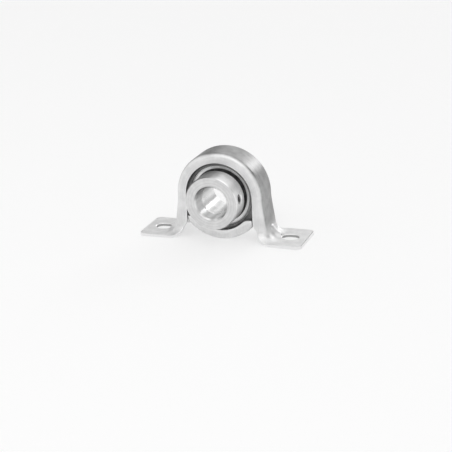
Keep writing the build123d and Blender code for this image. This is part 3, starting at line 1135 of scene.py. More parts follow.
class Finishes:
    """The finishes of this bearing.

    Each names itself and its slot, then gives its dark and light level, how metallic it is, its
    least and greatest roughness, and what else differs from the usual of its kind.
    """

    HOUSING = PressedZinc(
        "satin_zinc_plate", "housing_steel", 0.7, 0.87, 0.85, 0.44, 0.58
    )
    # The slot walls are painted dark as the shade inside the bolt slots.
    SLOT_WALL = PlainMetal(
        "slot_wall_shade_steel", "housing_steel", 0.16, 0.42, 0.8, 0.4, 0.55
    )
    # The collar's and rings' round sides carry painted reflection streaks and painted shade along
    # the shaft.
    COLLAR = TurnedSteel(
        "turned_collar_steel", "collar_steel", 0.14, 0.97, 0.45, 0.32, 0.42,
        painted_light=0.85,
    )
    COLLAR_FACE = TurnedSteel(
        "faced_collar_steel", "collar_steel", 0.64, 0.8, 0.9, 0.34, 0.46,
        anisotropic=0.0, rubbed=0.0,
    )
    RING = TurnedSteel(
        "ground_ring_steel", "ring_steel", 0.12, 0.98, 0.9, 0.26, 0.36,
        line_depth=0.0000005, painted_light=0.85,
    )
    RING_FACE = TurnedSteel(
        "faced_ring_steel", "ring_steel", 0.78, 0.93, 0.85, 0.3, 0.4,
        line_depth=0.000001, anisotropic=0.0, rubbed=0.0,
    )
    WASHER = TurnedSteel(
        "bright_washer_steel", "washer_steel", 0.8, 0.95, 0.7, 0.3, 0.4,
        line_depth=0.000001, anisotropic=0.0, rubbed=0.2,
    )
    RUBBER = MouldedRubber(
        "moulded_rubber", "interliner_rubber", 0.16, 0.28, 0.0, 0.5, 0.75
    )
    # The coined centre of the outer washer is painted dark as the shade under the collar.
    SHADED_WASHER_CENTRE = PlainMetal(
        "shade_painted_washer_steel", "washer_steel", 0.07, 0.2, 0.7, 0.4, 0.5,
        rubbed=0.0,
    )
    SEAL_RUBBER = MouldedRubber(
        "seal_lip_rubber", "seal_rubber", 0.02, 0.06, 0.0, 0.4, 0.6
    )
    SCREW = PlainMetal(
        "blackened_screw_steel", "screw_steel", 0.26, 0.6, 0.9, 0.3, 0.45
    )
    BALL = PlainMetal(
        "polished_ball_steel", "ball_steel", 0.78, 0.9, 1.0, 0.06, 0.12,
        grain_depth=0.0000004,
    )
    CAGE = MouldedRubber(
        "cage_polyamide", "cage_polyamide", 0.12, 0.2, 0.0, 0.4, 0.55
    )


# ------------------------------------------------------------------------------- sub-assemblies
@dataclass
class Assembly:
    """A sub-assembly: builds its pieces, dresses them and hands them to the frame."""

    datum: Datum
    effects: Effects

    def hand_in(self, piece: Piece, body: str, finish: Finish, *nodes: str) -> Piece:
        """Dresses a finished piece and hands it to the frame.

        Args:
            piece: the piece, in metres.
            body: the body that it rides on.
            finish: its finish.
            nodes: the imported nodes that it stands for.

        Returns:
            The same piece.
        """
        piece.data.materials.clear()
        piece.data.materials.append(finish.material(self.effects))
        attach(piece, body)
        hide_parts(*nodes)
        triangles = sum(len(face.vertices) - 2 for face in piece.data.polygons)
        log.info("%s: %d triangles, %s, on %s", piece.name, triangles, finish.name, body)
        return piece

    def dress_faces(self, piece: Piece, finish: Finish, chosen: Callable[[Face], bool]) -> None:
        """Gives the chosen faces a finish of their own.

        Args:
            piece: the piece.
            finish: the finish.
            chosen: says whether a face gets it.
        """
        piece.data.materials.append(finish.material(self.effects))
        place = len(piece.data.materials) - 1
        for face in piece.data.polygons:
            if chosen(face):
                face.material_index = place

    def turned(
        self, name: str, profile: Profile, steps: int = 144, shift: Vector = Vector()
    ) -> Piece:
        """Turns an outline about the shaft's axis, or about one shifted from it."""
        return Bench.lathe(name, profile, self.datum.centre + shift, Vector((0, 1, 0)), steps)

    @staticmethod
    def along_shaft(face: Face) -> bool:
        """Whether a face looks along the shaft."""
        return abs(face.normal.y) > 0.9

    def dress(self, node: str, finish: Finish) -> None:
        """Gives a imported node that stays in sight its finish.

        Args:
            node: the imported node's name.
            finish: its finish.
        """
        shown = frame["nodes"][node]
        for slot in shown.material_slots:
            slot.material = finish.material(self.effects)
        log.info("%s: packed node, %s", node, finish.name)

    def build(self) -> None:
        """Builds and hands in every piece."""
        raise NotImplementedError


@dataclass
class PressedHousing(Assembly):
    """Housing pressed from two strips: an arch with legs and feet, and a saddle nested in it."""

    thickness: float = 2.0
    press_radius: float = 1.2
    flange_edge: float = 21.8
    lean: float = math.radians(8.5)
    lean_radius: float = 40.0
    bend_radius: float = 7.0
    toe_radius: float = 9.0
    toe_lip: float = 3.2
    foot_half_width: float = 16.0
    foot_lip: float = 4.5
    foot_corner: float = 3.5
    bead_half_width: float = 3.9
    bead_depth: float = 1.2
    bead_share: float = 0.85
    bead_inner_share: float = 0.62
    bead_fullness: float = 1.35
    bead_fade: float = 2.4
    saddle_end: float = math.radians(19.0)
    shelf_drop: float = 14.0
    shelf_round: float = 6.0
    shelf_end: float = 21.35
    edge_break: float = 0.32
    crown_flats: int = 30
    lean_flats: int = 5
    bend_flats: int = 18
    corner_flats: int = 6
    saddle_flats: int = 26
    fold_flats: int = 8
    web_lines: tuple[float, ...] = (0.0, 0.55, 1.1, 1.65, 2.2, 2.8, 3.4, 4.6, 6.0)
    leg_lines: tuple[float, ...] = (2.4, 1.8, 1.2, 0.6)
    foot_lines: tuple[float, ...] = (0.6, 1.2, 1.8, 2.4, 3.6, 4.8, 6.0, 7.6, 9.2, 10.8)
    saddle_spare: float = 1.5
    cut_gap: float = 0.02
    cut_depth: float = 8.0
    slot_reach: float = 0.1

    @property
    def web_half(self) -> float:
        """Half the flat of the channel's web."""
        return self.datum.channel_half_width - self.press_radius - self.thickness

    @property
    def fold_length(self) -> float:
        """Length of sheet in one folded corner, along its middle."""
        return (self.press_radius + self.thickness / 2) * math.pi / 2

    @property
    def lean_start(self) -> tuple[float, float]:
        """Where the arch's sweep ends and the straight leg begins, on the outer skin.

        Returns:
            The place, in X and Z.
        """
        return (
            self.datum.shell_radius + self.lean_radius * (1 - math.cos(self.lean)),
            self.datum.axis_height - self.lean_radius * math.sin(self.lean),
        )

    @property
    def bend_centre(self) -> tuple[float, float]:
        """Centre of the bend between leg and foot.

        Returns:
            The centre, in X and Z.
        """
        height = self.thickness + self.bend_radius
        x, z = self.lean_start
        start = height - self.bend_radius * math.sin(self.lean)
        x += (z - start) * math.tan(self.lean) + self.bend_radius * math.cos(self.lean)
        return (x, height)

    def section(
        self, origin: tuple[float, float], turn: float, fold: float, lip: float
    ) -> list[Place]:
        """The outer skin across the channel at one station.

        Args:
            origin: where the middle of the web is, in X and Z.
            turn: which way the web faces, as an angle from +X towards +Z.
            fold: how far each flange is folded, where a quarter turn is a full channel.
            lip: the flat of the flange beyond its fold.

        Returns:
            Places from the edge at -Y to the edge at +Y.
        """
        inward = (-math.cos(turn), -math.sin(turn))
        steps = self.fold_flats
        half: list[tuple[float, float]] = [(0.0, width) for width in self.web_lines]
        half.append((0.0, self.web_half))
        for step in range(1, steps + 1):
            if fold < 1e-3:
                half.append((0.0, self.web_half + self.fold_length * step / steps))
                continue
            radius = self.fold_length / fold + self.thickness / 2
            angle = fold * step / steps
            half.append((radius * (1 - math.cos(angle)), self.web_half + radius * math.sin(angle)))
        depth, width = half[-1]
        for share in (0.3, 0.65, 1.0):
            half.append(
                (depth + share * lip * math.sin(fold), width + share * lip * math.cos(fold))
            )
        both = [(way, -across) for way, across in half[:0:-1]] + half
        return [
            (origin[0] + inward[0] * way, across, origin[1] + inward[1] * way)
            for way, across in both
        ]

    def trimmed(self, origin: tuple[float, float], turn: float) -> list[Place]:
        """A full channel's station whose flanges end at the leg's trimmed edge.

        Args:
            origin: where the middle of the web is, in X and Z.
            turn: which way the web faces.

        Returns:
            Places from the edge at -Y to the edge at +Y.
        """
        toe_x = self.flange_edge + self.toe_radius
        bend_x, bend_z = self.bend_centre
        tip = self.bend_radius + self.fold_depth + self.toe_lip
        tip_x, tip_z = bend_x - tip * math.cos(self.lean), bend_z - tip * math.sin(self.lean)
        toe_z = tip_z + math.sqrt(self.toe_radius**2 - (toe_x - tip_x) ** 2)
        edge, depth = self.flange_edge, 0.0
        for _ in range(12):
            depth = (origin[0] - edge) / math.cos(turn)
            below = min(max(toe_z - (origin[1] - depth * math.sin(turn)), 0.0), self.toe_radius)
            edge = toe_x - math.sqrt(self.toe_radius**2 - below**2)
        return self.section(origin, turn, math.pi / 2, depth - self.fold_depth)

    @property
    def fold_depth(self) -> float:
        """Depth of a full fold on its outer side."""
        return self.press_radius + self.thickness

    def arch_stations(self) -> list[list[Place]]:
        """Stations down the right half, from the crown to the tip of the foot.

        Returns:
            The stations, each a line across the outer skin.
        """
        datum, quarter = self.datum, math.pi / 2
        lip = datum.shell_radius - self.fold_depth - self.flange_edge
        stations = []
        for step in range(self.crown_flats):
            turn = quarter * (1 - step / self.crown_flats)
            place = arc((0.0, datum.axis_height), datum.shell_radius, turn, turn, 1)[0]
            stations.append(self.section(place, turn, quarter, lip))
        for step in range(self.lean_flats):
            turn = self.lean * step / self.lean_flats
            reach = self.lean_radius
            place = (
                datum.shell_radius + reach * (1 - math.cos(turn)),
                datum.axis_height - reach * math.sin(turn),
            )
            stations.append(self.trimmed(place, turn))
        bend_x, bend_z = self.bend_centre
        top, foot_top = Vector(self.lean_start), Vector((bend_x, self.thickness))
        skin = self.bend_radius
        bottom = Vector((bend_x - skin * math.cos(self.lean), bend_z - skin * math.sin(self.lean)))
        run = (bottom - top).length
        ways = [run * step / 12 for step in range(10)]
        ways += [run - back for back in self.leg_lines]
        for way in ways:
            stations.append(self.trimmed(tuple(top.lerp(bottom, way / run)), self.lean))
        for step in range(self.bend_flats + 1):
            share = step / self.bend_flats
            turn = self.lean + share * (quarter - self.lean)
            place = (bend_x - skin * math.cos(turn), bend_z - skin * math.sin(turn))
            lip = self.foot_lip + (1 - share) ** 3 * (self.toe_lip - self.foot_lip)
            stations.append(self.section(place, turn, (1 - share) ** 2 * quarter, lip))
        flat = self.web_half + self.fold_length
        end, corner = datum.half_length, self.foot_corner
        spots = [(bend_x + way, 0.0) for way in self.foot_lines]
        for step in range(self.corner_flats + 1):
            angle = quarter * step / self.corner_flats
            x = end - corner + corner * math.sin(angle)
            spots.append((x, corner * (1 - math.cos(angle))))
        for x, inset in spots:
            share = (x - bend_x) / (end - bend_x)
            half = flat + self.foot_lip
            half += share * (self.foot_half_width - half) - inset
            stations.append(self.section((x, foot_top.y), quarter, 0.0, half - flat))
        return stations

    def press_bead(self, piece: Piece, inner: str) -> None:
        """Presses the stiffening bead into each foot bend.

        Args:
            piece: the sheet with its thickness.
            inner: the vertex group that holds its inner skin.
        """
        bend = Vector((self.bend_centre[0], 0.0, self.bend_centre[1]))
        middle = (self.lean + math.pi / 2) / 2
        reach = math.pi / 2 - middle
        group = piece.vertex_groups[inner].index
        for vertex in piece.data.vertices:
            side = math.copysign(1.0, vertex.co.x)
            place = Vector((abs(vertex.co.x), vertex.co.y, vertex.co.z))
            hidden = any(member.group == group for member in vertex.groups)
            share = self.bead_inner_share if hidden else 1.0
            width = self.bead_half_width * share
            if abs(place.y) >= width or place.x < 0.8 * self.datum.half_length / 2:
                continue
            arm = bend - place
            angle = math.atan2(arm.z, arm.x)
            off = min(max(abs(angle - middle), 0.0), reach)
            leg_way = Vector((math.sin(self.lean), 0.0, -math.cos(self.lean)))
            beyond = max(arm.dot(leg_way), -arm.x, 0.0)
            if beyond >= self.bead_fade:
                continue
            chord = self.bend_radius * math.cos(reach) - self.bead_depth
            crest = self.bend_radius - chord / math.cos(off)
            rise = self.bead_share * crest * (1 - (place.y / width) ** 2) ** self.bead_fullness
            rise *= (1 + math.cos(math.pi * beyond / self.bead_fade)) / 2
            rise *= share
            turn = min(max(angle, self.lean), math.pi / 2)
            vertex.co.x += side * rise * math.cos(turn)
            vertex.co.z += rise * math.sin(turn)

    def slot_cutter(self, side: int) -> Piece:
        """A tool for the bolt slot of one foot, which also breaks the slot's edges.

        Args:
            side: 1 for the foot at +X and -1 for the other.

        Returns:
            The tool.
        """
        straight = self.datum.slot_length - self.datum.slot_width
        centre = side * self.datum.bolt_spacing / 2
        around = []
        for end, start in ((1, -math.pi / 2), (-1, math.pi / 2)):
            middle = (centre + end * straight / 2, 0.0)
            around += [(middle, start + math.pi * step / 20) for step in range(21)]
        cut = self.edge_break
        rings = [(-1.0, 1.0 + cut), (cut, 0.0), (self.thickness - cut, 0.0)]
        rings += [(self.thickness + cut, 2 * cut), (self.thickness + 4.0, 2 * cut)]
        lines = [
            [arc(middle, self.datum.slot_width / 2 + flare, turn, turn, 1)[0] + (height,)
             for middle, turn in around]
            for height, flare in rings
        ]
        return Bench.skin("slot_cutter", lines)

    def press(self, name: str, stations: list[list[Place]], inner: str = "") -> Piece:
        """Presses a whole sheet from the stations of its right half.

        Args:
            name: the piece's name.
            stations: lines across its outer skin.
            inner: the vertex group that is to hold its inner skin, if any.

        Returns:
            The sheet with its thickness.
        """
        piece = Bench.sheet(name, stations)
        Bench.apply(piece, "MIRROR", use_axis=(True, False, False), use_clip=True)
        Bench.face_out(piece, self.datum.centre)
        if inner:
            piece.vertex_groups.new(name=inner)
        Bench.apply(
            piece, "SOLIDIFY", thickness=self.thickness, offset=-1.0, use_even_offset=True,
            use_quality_normals=True, shell_vertex_group=inner,
        )
        return piece

    def make_arch(self) -> Piece:
        """The arch with its legs and feet.

        Returns:
            The finished piece, in metres.
        """
        piece = self.press("pressed_arch", self.arch_stations(), "inner_skin")
        Bench.break_edges(piece, self.edge_break, 60.0)
        self.press_bead(piece, "inner_skin")
        piece.vertex_groups.clear()
        for vertex in piece.data.vertices:
            vertex.co.z = max(vertex.co.z, 0.0)
        Bench.combine(piece, self.slot_cutter(1), self.slot_cutter(-1))
        return Bench.finish(piece, Shading.PRESSED)

    def saddle_opening(self, side: int) -> Piece:
        """A tool for all that is cut away from one face of the saddle.

        Args:
            side: 1 for the face at +Y and -1 for the other.

        Returns:
            The tool.
        """
        drop, size = self.shelf_drop, self.shelf_round
        reach = self.flange_edge + size
        across = math.sqrt(reach**2 - (drop + size) ** 2)
        fillet = math.atan2(drop + size, -across)
        low = math.atan2(-(drop + size), across)
        wide, high = 2 * self.datum.shell_radius, self.datum.shell_radius
        outline = [(wide, high), (wide, -wide), (self.shelf_end, -wide), (self.shelf_end, -drop)]
        outline += arc((across, -drop - size), size, math.pi / 2, fillet, 8)
        outline += arc((0.0, 0.0), self.flange_edge, low, -math.pi - low, 44)[1:-1]
        outline += [(-x, z) for x, z in outline[12:2:-1]]
        outline += [(-self.shelf_end, -wide), (-wide, -wide), (-wide, high)]
        near = side * (self.web_half + self.cut_gap)
        places = [(x, near, z + self.datum.axis_height) for x, z in outline]
        return Bench.prism("saddle_opening", places, Vector((0.0, side * self.cut_depth, 0.0)))

    def make_saddle(self) -> Piece:
        """The saddle whose ends nest inside the legs.

        Returns:
            The finished piece, in metres.
        """
        radius = self.datum.shell_radius
        lip = radius - self.fold_depth - self.flange_edge + self.saddle_spare
        stations = []
        for step in range(self.saddle_flats + 1):
            turn = -math.pi / 2 + (math.pi / 2 - self.saddle_end) * step / self.saddle_flats
            place = (radius * math.cos(turn), self.datum.axis_height + radius * math.sin(turn))
            stations.append(self.section(place, turn, math.pi / 2, lip))
        piece = self.press("pressed_saddle", stations)
        Bench.combine(piece, self.saddle_opening(1), self.saddle_opening(-1))
        Bench.join_flats(piece)
        Bench.break_edges(piece, self.edge_break, 40.0)
        return Bench.finish(piece, Shading.PRESSED)

    def in_slot(self, face: Face) -> bool:
        """Whether a face is the wall of a bolt slot.

        Args:
            face: a face of the arch.

        Returns:
            True for a slot's wall.
        """
        place = face.center / MM
        long = self.datum.slot_length / 2 + self.slot_reach
        wide = self.datum.slot_width / 2 + self.slot_reach
        inside = abs(abs(place.x) - self.datum.bolt_spacing / 2) < long and abs(place.y) < wide
        return inside and place.z < self.thickness and abs(face.normal.z) < 0.5

    def build(self) -> None:
        """Builds and hands in every piece."""
        arch = self.hand_in(self.make_arch(), "housing", Finishes.HOUSING, "housing_arch")
        # The slot walls are painted dark as the shade inside the slots.
        self.dress_faces(arch, Finishes.SLOT_WALL, self.in_slot)
        self.hand_in(self.make_saddle(), "housing", Finishes.HOUSING, "housing_saddle")


@dataclass
class Interliner(Assembly):
    """Rubber ring between housing and bearing, with a bead on each side."""

    seat_gap: float = 0.05
    wall: float = 2.55
    lip_inner: float = 7.05
    lip_outer: float = 8.35
    lip_edge: float = 19.6
    bead_edge: float = 21.3
    side_face: float = 7.4
    edge_round: float = 1.2

    def build(self) -> None:
        """Builds and hands in every piece."""
        seat = self.datum.outer_sphere + self.seat_gap
        outside = seat + self.wall
        crown = math.sqrt(outside**2 - self.side_face**2)
        half = [
            (self.lip_edge, self.lip_inner, 0.25),
            (self.lip_edge, self.lip_outer, 0.35),
            (self.bead_edge, self.lip_outer, 0.55),
            (self.bead_edge, self.side_face, 0.35),
            (crown, self.side_face, self.edge_round),
        ]
        dome = math.asin(self.side_face / outside) * 0.8
        bowl = math.asin(self.lip_inner / seat)
        crest = [(x, y, 0.0) for x, y in arc((0, 0), outside, dome, -dome, 14)]
        hollow = [(x, y, 0.0) for x, y in arc((0, 0), seat, -bowl, bowl, 14)]
        front = [(x, -y, size) for x, y, size in reversed(half)]
        profile = rounded(half + crest + front + hollow)
        piece = self.turned("moulded_interliner", profile, 160)
        Bench.finish(piece, Shading.MOULDED)
        self.hand_in(piece, "interliner", Finishes.RUBBER, "rubber_interliner")


class Side(Enum):
    """The two sides of the bearing, by their direction along the shaft."""

    REAR = 1
    FRONT = -1


@dataclass
class SealedInsert(Assembly):
    """Ball insert: two rings, balls in a cage, and a seal of two washers and a lip each side."""

    shoulder: float = 19.148
    race_opening: float = 1.04
    race_clearance: float = 0.01
    inner_shoulder: float = 14.4
    shoulder_half: float = 4.6
    land: float = 13.4
    seal_recess: float = 0.25
    washer: float = 0.4
    lip: float = 0.45
    fit: float = 0.02
    seal_depth: float = 0.5
    coined_edge: float = 17.6
    coined_depth: float = 0.15
    outer_gap: float = 0.55
    inner_gap: float = 1.8
    lip_flare: float = 1.1
    cam_wall: float = 2.2
    cam_start: float = 9.6
    ring_chamfer: float = 0.6
    outer_chamfer: float = 0.5
    lip_clearance: float = 0.05
    lip_tip: float = 0.22
    bore_allowance: float = 1.5
    cam_root: float = -8.0

    @property
    def ball(self) -> tuple[float, float]:
        """Ball radius and the radius of the circle of ball centres."""
        low, high = (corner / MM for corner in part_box("ball_1"))
        return ((high.z - low.z) / 2, (high.z + low.z) / 2 - self.datum.axis_height)

    def race(self, centre: float, edge: float, outward: bool) -> Profile:
        """Raceway from its rear edge to its front edge, cut into a shoulder.

        Args:
            centre: the groove's centre, from the shaft's axis.
            edge: the shoulder's radius.
            outward: whether it is cut outwards, as in the outer ring.

        Returns:
            The groove's outline.
        """
        radius = self.ball[0] * self.race_opening
        half = math.acos((edge - centre) / radius)
        if outward:
            return arc((centre, 0.0), radius, half, -half, 16)
        return arc((centre, 0.0), radius, half, 2 * math.pi - half, 16)

    def make_outer_ring(self) -> Piece:
        """Outer ring with its groove, its seal grooves and its spherical outside.

        Returns:
            The finished piece, in metres.
        """
        size, pitch = self.ball
        half, sphere = self.datum.outer_ring_half, self.datum.outer_sphere
        floor = pitch + size + self.race_clearance
        outer = half - self.seal_recess
        inner = outer - 2 * self.washer - self.lip - 4 * self.fit
        edge = math.asin((half - self.outer_chamfer) / sphere)
        face = math.sqrt(sphere**2 - half**2) - self.outer_chamfer
        rear = [
            (self.shoulder, inner), (self.shoulder + self.seal_depth, inner),
            (self.shoulder + self.seal_depth, outer), (self.shoulder + 0.06, outer),
            (self.shoulder, outer + 0.06), (self.shoulder, half - 0.12),
            (self.shoulder + 0.12, half), (face, half),
        ]
        race = self.race(floor - size * self.race_opening, self.shoulder, True)
        profile = race[::-1] + rear + arc((0, 0), sphere, edge, -edge, 18)
        profile += [(radius, -way) for radius, way in reversed(rear)]
        return Bench.finish(self.turned("ground_outer_ring", profile), Shading.TURNED)

    def make_inner_ring(self) -> Piece:
        """Inner ring with its groove, its lands and the eccentric cam.

        Returns:
            The finished piece, in metres.
        """
        size, pitch = self.ball
        floor = pitch - size - self.race_clearance
        land, high, half = self.land, self.inner_shoulder, self.shoulder_half
        race = self.race(floor + size * self.race_opening, high, False)
        stub = self.datum.bore_radius - self.bore_allowance
        end, cut = self.datum.plain_end, self.ring_chamfer
        outline = [(stub, end), (land - cut, end), (land - 0.16, end - 0.16), (land, end - cut)]
        outline += [(land, half), (high - 0.15, half), (high, half - 0.15)]
        outline += race
        outline += [(high, 0.15 - half), (high - 0.15, -half), (land, -half)]
        outline += [(land, cut - self.cam_start), (land - cut, -self.cam_start)]
        outline += [(stub, -self.cam_start)]
        piece = self.turned("ground_inner_ring", outline)
        cam, tip = self.datum.bore_radius + self.cam_wall, self.datum.cam_end
        profile = [(0.0, self.cam_root), (cam, self.cam_root), (cam, cut - tip)]
        profile += [(cam - cut, -tip), (0.0, -tip)]
        Bench.combine(piece, self.turned("cam", profile, 120, CAM_SHIFT), way="UNION")
        bore = self.datum.bore_radius
        ream = [(0.0, end + 1), (bore + cut + 1, end + 1), (bore, end - cut), (bore, cut - tip)]
        ream += [(bore + cut + 1, -tip - 1), (0.0, -tip - 1)]
        Bench.combine(piece, self.turned("ream", ream))
        return Bench.finish(piece, Shading.TURNED)

    def seal_faces(self) -> dict[str, tuple[float, float]]:
        """Distances from the bearing's centre of each seal piece's inner and outer faces.

        Returns:
            (inner, outer) distances by the seal piece's name.
        """
        outer = self.datum.outer_ring_half - self.seal_recess - self.fit
        middle = outer - self.washer - self.fit
        inner = middle - self.lip - self.fit
        return {
            "outer_washer": (outer - self.washer, outer),
            "lip": (middle - self.lip, middle),
            "inner_washer": (inner - self.washer, inner),
        }

    def in_shaded_centre(self, face: Face) -> bool:
        """Whether a washer's face is in the coined recess round the shaft, which is painted dark as
        shade.
        """
        place = face.center / MM - self.datum.centre
        return math.hypot(place.x, place.z) < self.coined_edge

    def make_seal(self, side: Side) -> None:
        """Builds and hands in one side's washers and lip.

        Args:
            side: the side of the bearing.
        """
        faces = self.seal_faces()
        rim = self.shoulder + self.seal_depth - self.fit
        label, way = side.name.lower(), side.value
        for part, gap in (("outer_washer", self.outer_gap), ("inner_washer", self.inner_gap)):
            low, high = faces[part]
            edge = self.land + gap
            coined = [(edge, high, 0.15)]
            if part == "outer_washer":
                sunk = high - self.coined_depth
                coined = [(edge, sunk, 0.1), (self.coined_edge - self.coined_depth, sunk, 0.0),
                          (self.coined_edge, high, 0.0)]
            corners = [(edge, low, 0.08), *coined, (rim, high, 0.1), (rim, low, 0.08)]
            profile = [(radius, way * along) for radius, along in rounded(corners, 2, 0.3)]
            piece = self.turned(f"{label}_{part}_plate", profile)
            Bench.finish(piece, Shading.TURNED)
            self.hand_in(piece, "insert", Finishes.WASHER, f"seal_{label}_{part}")
            if part == "outer_washer":
                # The coined centre is painted dark as the shade under the collar.
                self.dress_faces(piece, Finishes.SHADED_WASHER_CENTRE, self.in_shaded_centre)
        low, high = faces["lip"]
        tip, split = self.land + self.lip_clearance, self.land + self.inner_gap - self.fit
        notch = (tip + split) / 2
        profile = [
            (rim, low), (rim, high), (tip + 0.08, high), (tip, high - 0.08),
            (tip, high - self.lip_tip), (notch, low + 0.11),
            (tip, high - self.lip_flare + self.lip_tip), (tip, high - self.lip_flare), (split, low),
        ]
        piece = self.turned(f"{label}_lip_disc", [(radius, way * y) for radius, y in profile])
        Bench.finish(piece, Shading.TURNED)
        self.hand_in(piece, "insert", Finishes.SEAL_RUBBER, f"seal_{label}_lip")

    def build(self) -> None:
        """Builds and hands in every piece."""
        rings = ((self.make_outer_ring(), "insert"), (self.make_inner_ring(), "inner_ring"))
        for piece, body in rings:
            node = piece.name.removeprefix("ground_")
            self.hand_in(piece, body, Finishes.RING, node)
            self.dress_faces(piece, Finishes.RING_FACE, self.along_shaft)
        for side in Side:
            self.make_seal(side)
        self.dress("ball_cage", Finishes.CAGE)
        for node in sorted(frame["nodes"]):
            if node.startswith("ball_") and node != "ball_cage":
                self.dress(node, Finishes.BALL)


@dataclass
class LockingCollar(Assembly):
    """Eccentric locking collar and its grub screw."""

    bore: float = 10.2
    mouth: float = 0.9
    edge: float = 0.6
    recess: float = 12.5
    recess_end: float = 14.05
    screw_place: float = 17.8
    screw_radius: float = 3.0
    screw_fit: float = 0.02
    countersink: float = 0.7
    screw_sink: float = 0.4
    screw_length: float = 5.0
    pitch: float = 1.0
    point_chamfer: float = 0.8
    head_chamfer: float = 0.45
    socket: float = 3.0
    socket_depth: float = 2.4
    drift_radius: float = 2.5
    drift_depth: float = 3.0

    @property
    def screw_foot(self) -> Vector:
        """Where the screw's axis meets the shaft's."""
        return self.datum.centre - Vector((0.0, self.screw_place, 0.0))

    @property
    def outward(self) -> Vector:
        """The way the screw points out of the collar."""
        axis = self.datum.screw_axis
        return axis if axis.x > 0 else -axis

    def make_collar(self) -> Piece:
        """The collar with its recess, its plain screw hole and its drift hole.

        Returns:
            The finished piece, in metres.
        """
        back, front = self.datum.collar_back, self.datum.collar_front
        radius = self.datum.collar_radius
        corners = [
            (self.bore, -back, 0.0), (radius - self.edge, -back, 0.15),
            (radius, -back - self.edge, 0.3), (radius, self.edge - front, 0.3),
            (radius - self.edge, -front, 0.2), (self.bore + self.mouth, -front, 0.15),
            (self.bore, self.mouth - front, 0.2),
        ]
        piece = self.turned("turned_collar", rounded(corners, 3, 0.35), 192)
        hollow = [(0.0, 1 - back), (self.recess + 1.3, 1 - back), (self.recess, -back - 0.3)]
        hollow += [(self.recess, -self.recess_end), (0.0, -self.recess_end)]
        recess = self.turned("recess", hollow, shift=CAM_SHIFT)
        hole, cone = self.screw_radius + self.screw_fit, self.countersink
        tap = [(0.0, 6.0), (hole, 6.0), (hole, radius - cone), (hole + 2 * cone, radius + cone)]
        tap += [(0.0, radius + cone)]
        hollowed = Bench.lathe("screw_hole", tap, self.screw_foot, self.outward, 64)
        floor, wide = radius - self.drift_depth, self.drift_radius
        drill = [(0.0, floor - 0.6), (wide, floor), (wide, radius - 0.15)]
        drill += [(wide + 1.15, radius + 1), (0.0, radius + 1)]
        drift = Bench.lathe("drift_hole", drill, self.screw_foot, -self.outward, 48)
        Bench.combine(piece, recess, hollowed, drift)
        return Bench.finish(piece, Shading.TURNED)

    def make_screw(self) -> Piece:
        """The grub screw with a real thread, a hexagon socket and a cup point.

        Returns:
            The finished piece, in metres.
        """
        top = self.datum.collar_radius - self.screw_sink
        low = top - self.screw_length
        crest, root = self.screw_radius, self.screw_radius - 0.6 * self.pitch
        turns = int(self.screw_length / self.pitch) + 3
        tooth = [(root, 0.0), (root, 0.12), (crest, 0.44), (crest, 0.56), (root, 0.88)]
        # The thread is one outline a pitch high, wound up and closed by two level cuts.
        wire = [(radius, 0.0, way * self.pitch) for radius, way in tooth]
        piece = Bench.trace("threaded_grub_screw", wire + [(root, 0.0, self.pitch)])
        Bench.close()
        Bench.apply(
            piece, "SCREW", axis="Z", screw_offset=self.pitch, iterations=turns, steps=40,
            render_steps=40, use_merge_vertices=True, merge_threshold=0.001, use_smooth_shade=True,
        )
        base, length = 1.5 * self.pitch, self.screw_length
        for height, outer in ((base, False), (base + length, True)):
            Bench.open(piece)
            bpy.ops.mesh.bisect(
                plane_co=(0.0, 0.0, height), plane_no=(0.0, 0.0, 1.0), use_fill=True,
                clear_outer=outer, clear_inner=not outer,
            )
            Bench.close()
        Bench.face_out(piece)
        point, head, top_face = self.point_chamfer, self.head_chamfer, base + length
        envelope = [
            (0.0, base), (crest - point, base), (crest, base + point), (crest, top_face - head),
            (crest - head, top_face), (0.0, top_face),
        ]
        up = Vector((0, 0, 1))
        Bench.combine(
            piece, Bench.lathe("envelope", envelope, Vector(), up, 64), way="INTERSECT"
        )
        corner = self.socket / math.sqrt(3)
        floor = top_face - self.socket_depth
        hexagon = [(x, y, floor) for x, y in arc((0, 0), corner, 0.2, 0.2 + 2 * math.pi, 6)[:-1]]
        socket = Bench.prism("socket", hexagon, Vector((0, 0, 2 * self.socket_depth)))
        lead = [(0.0, top_face - 0.2), (corner - 0.1, top_face - 0.2)]
        lead += [(corner + 0.4, top_face + 0.3), (0.0, top_face + 0.3)]
        cup = [(0.0, base - 1), (1.9, base - 1), (1.5, base), (0.0, base + 0.9)]
        Bench.combine(
            piece, socket, Bench.lathe("lead", lead, Vector(), up, 48),
            Bench.lathe("cup", cup, Vector(), up, 48),
        )
        Bench.pick(piece)
        turn = Vector((0, 0, 1)).rotation_difference(self.outward).to_matrix().to_4x4()
        place = Matrix.Translation(self.screw_foot + self.outward * (low - base))
        piece.matrix_world = place @ turn
        bpy.ops.object.transform_apply(location=True, rotation=True, scale=True)
        return Bench.finish(piece, Shading.TURNED)

    def build(self) -> None:
        """Builds and hands in every piece."""
        collar = self.hand_in(self.make_collar(), "collar", Finishes.COLLAR, "locking_collar")
        self.dress_faces(collar, Finishes.COLLAR_FACE, self.along_shaft)
        self.hand_in(self.make_screw(), "set_screw", Finishes.SCREW, "set_screw")


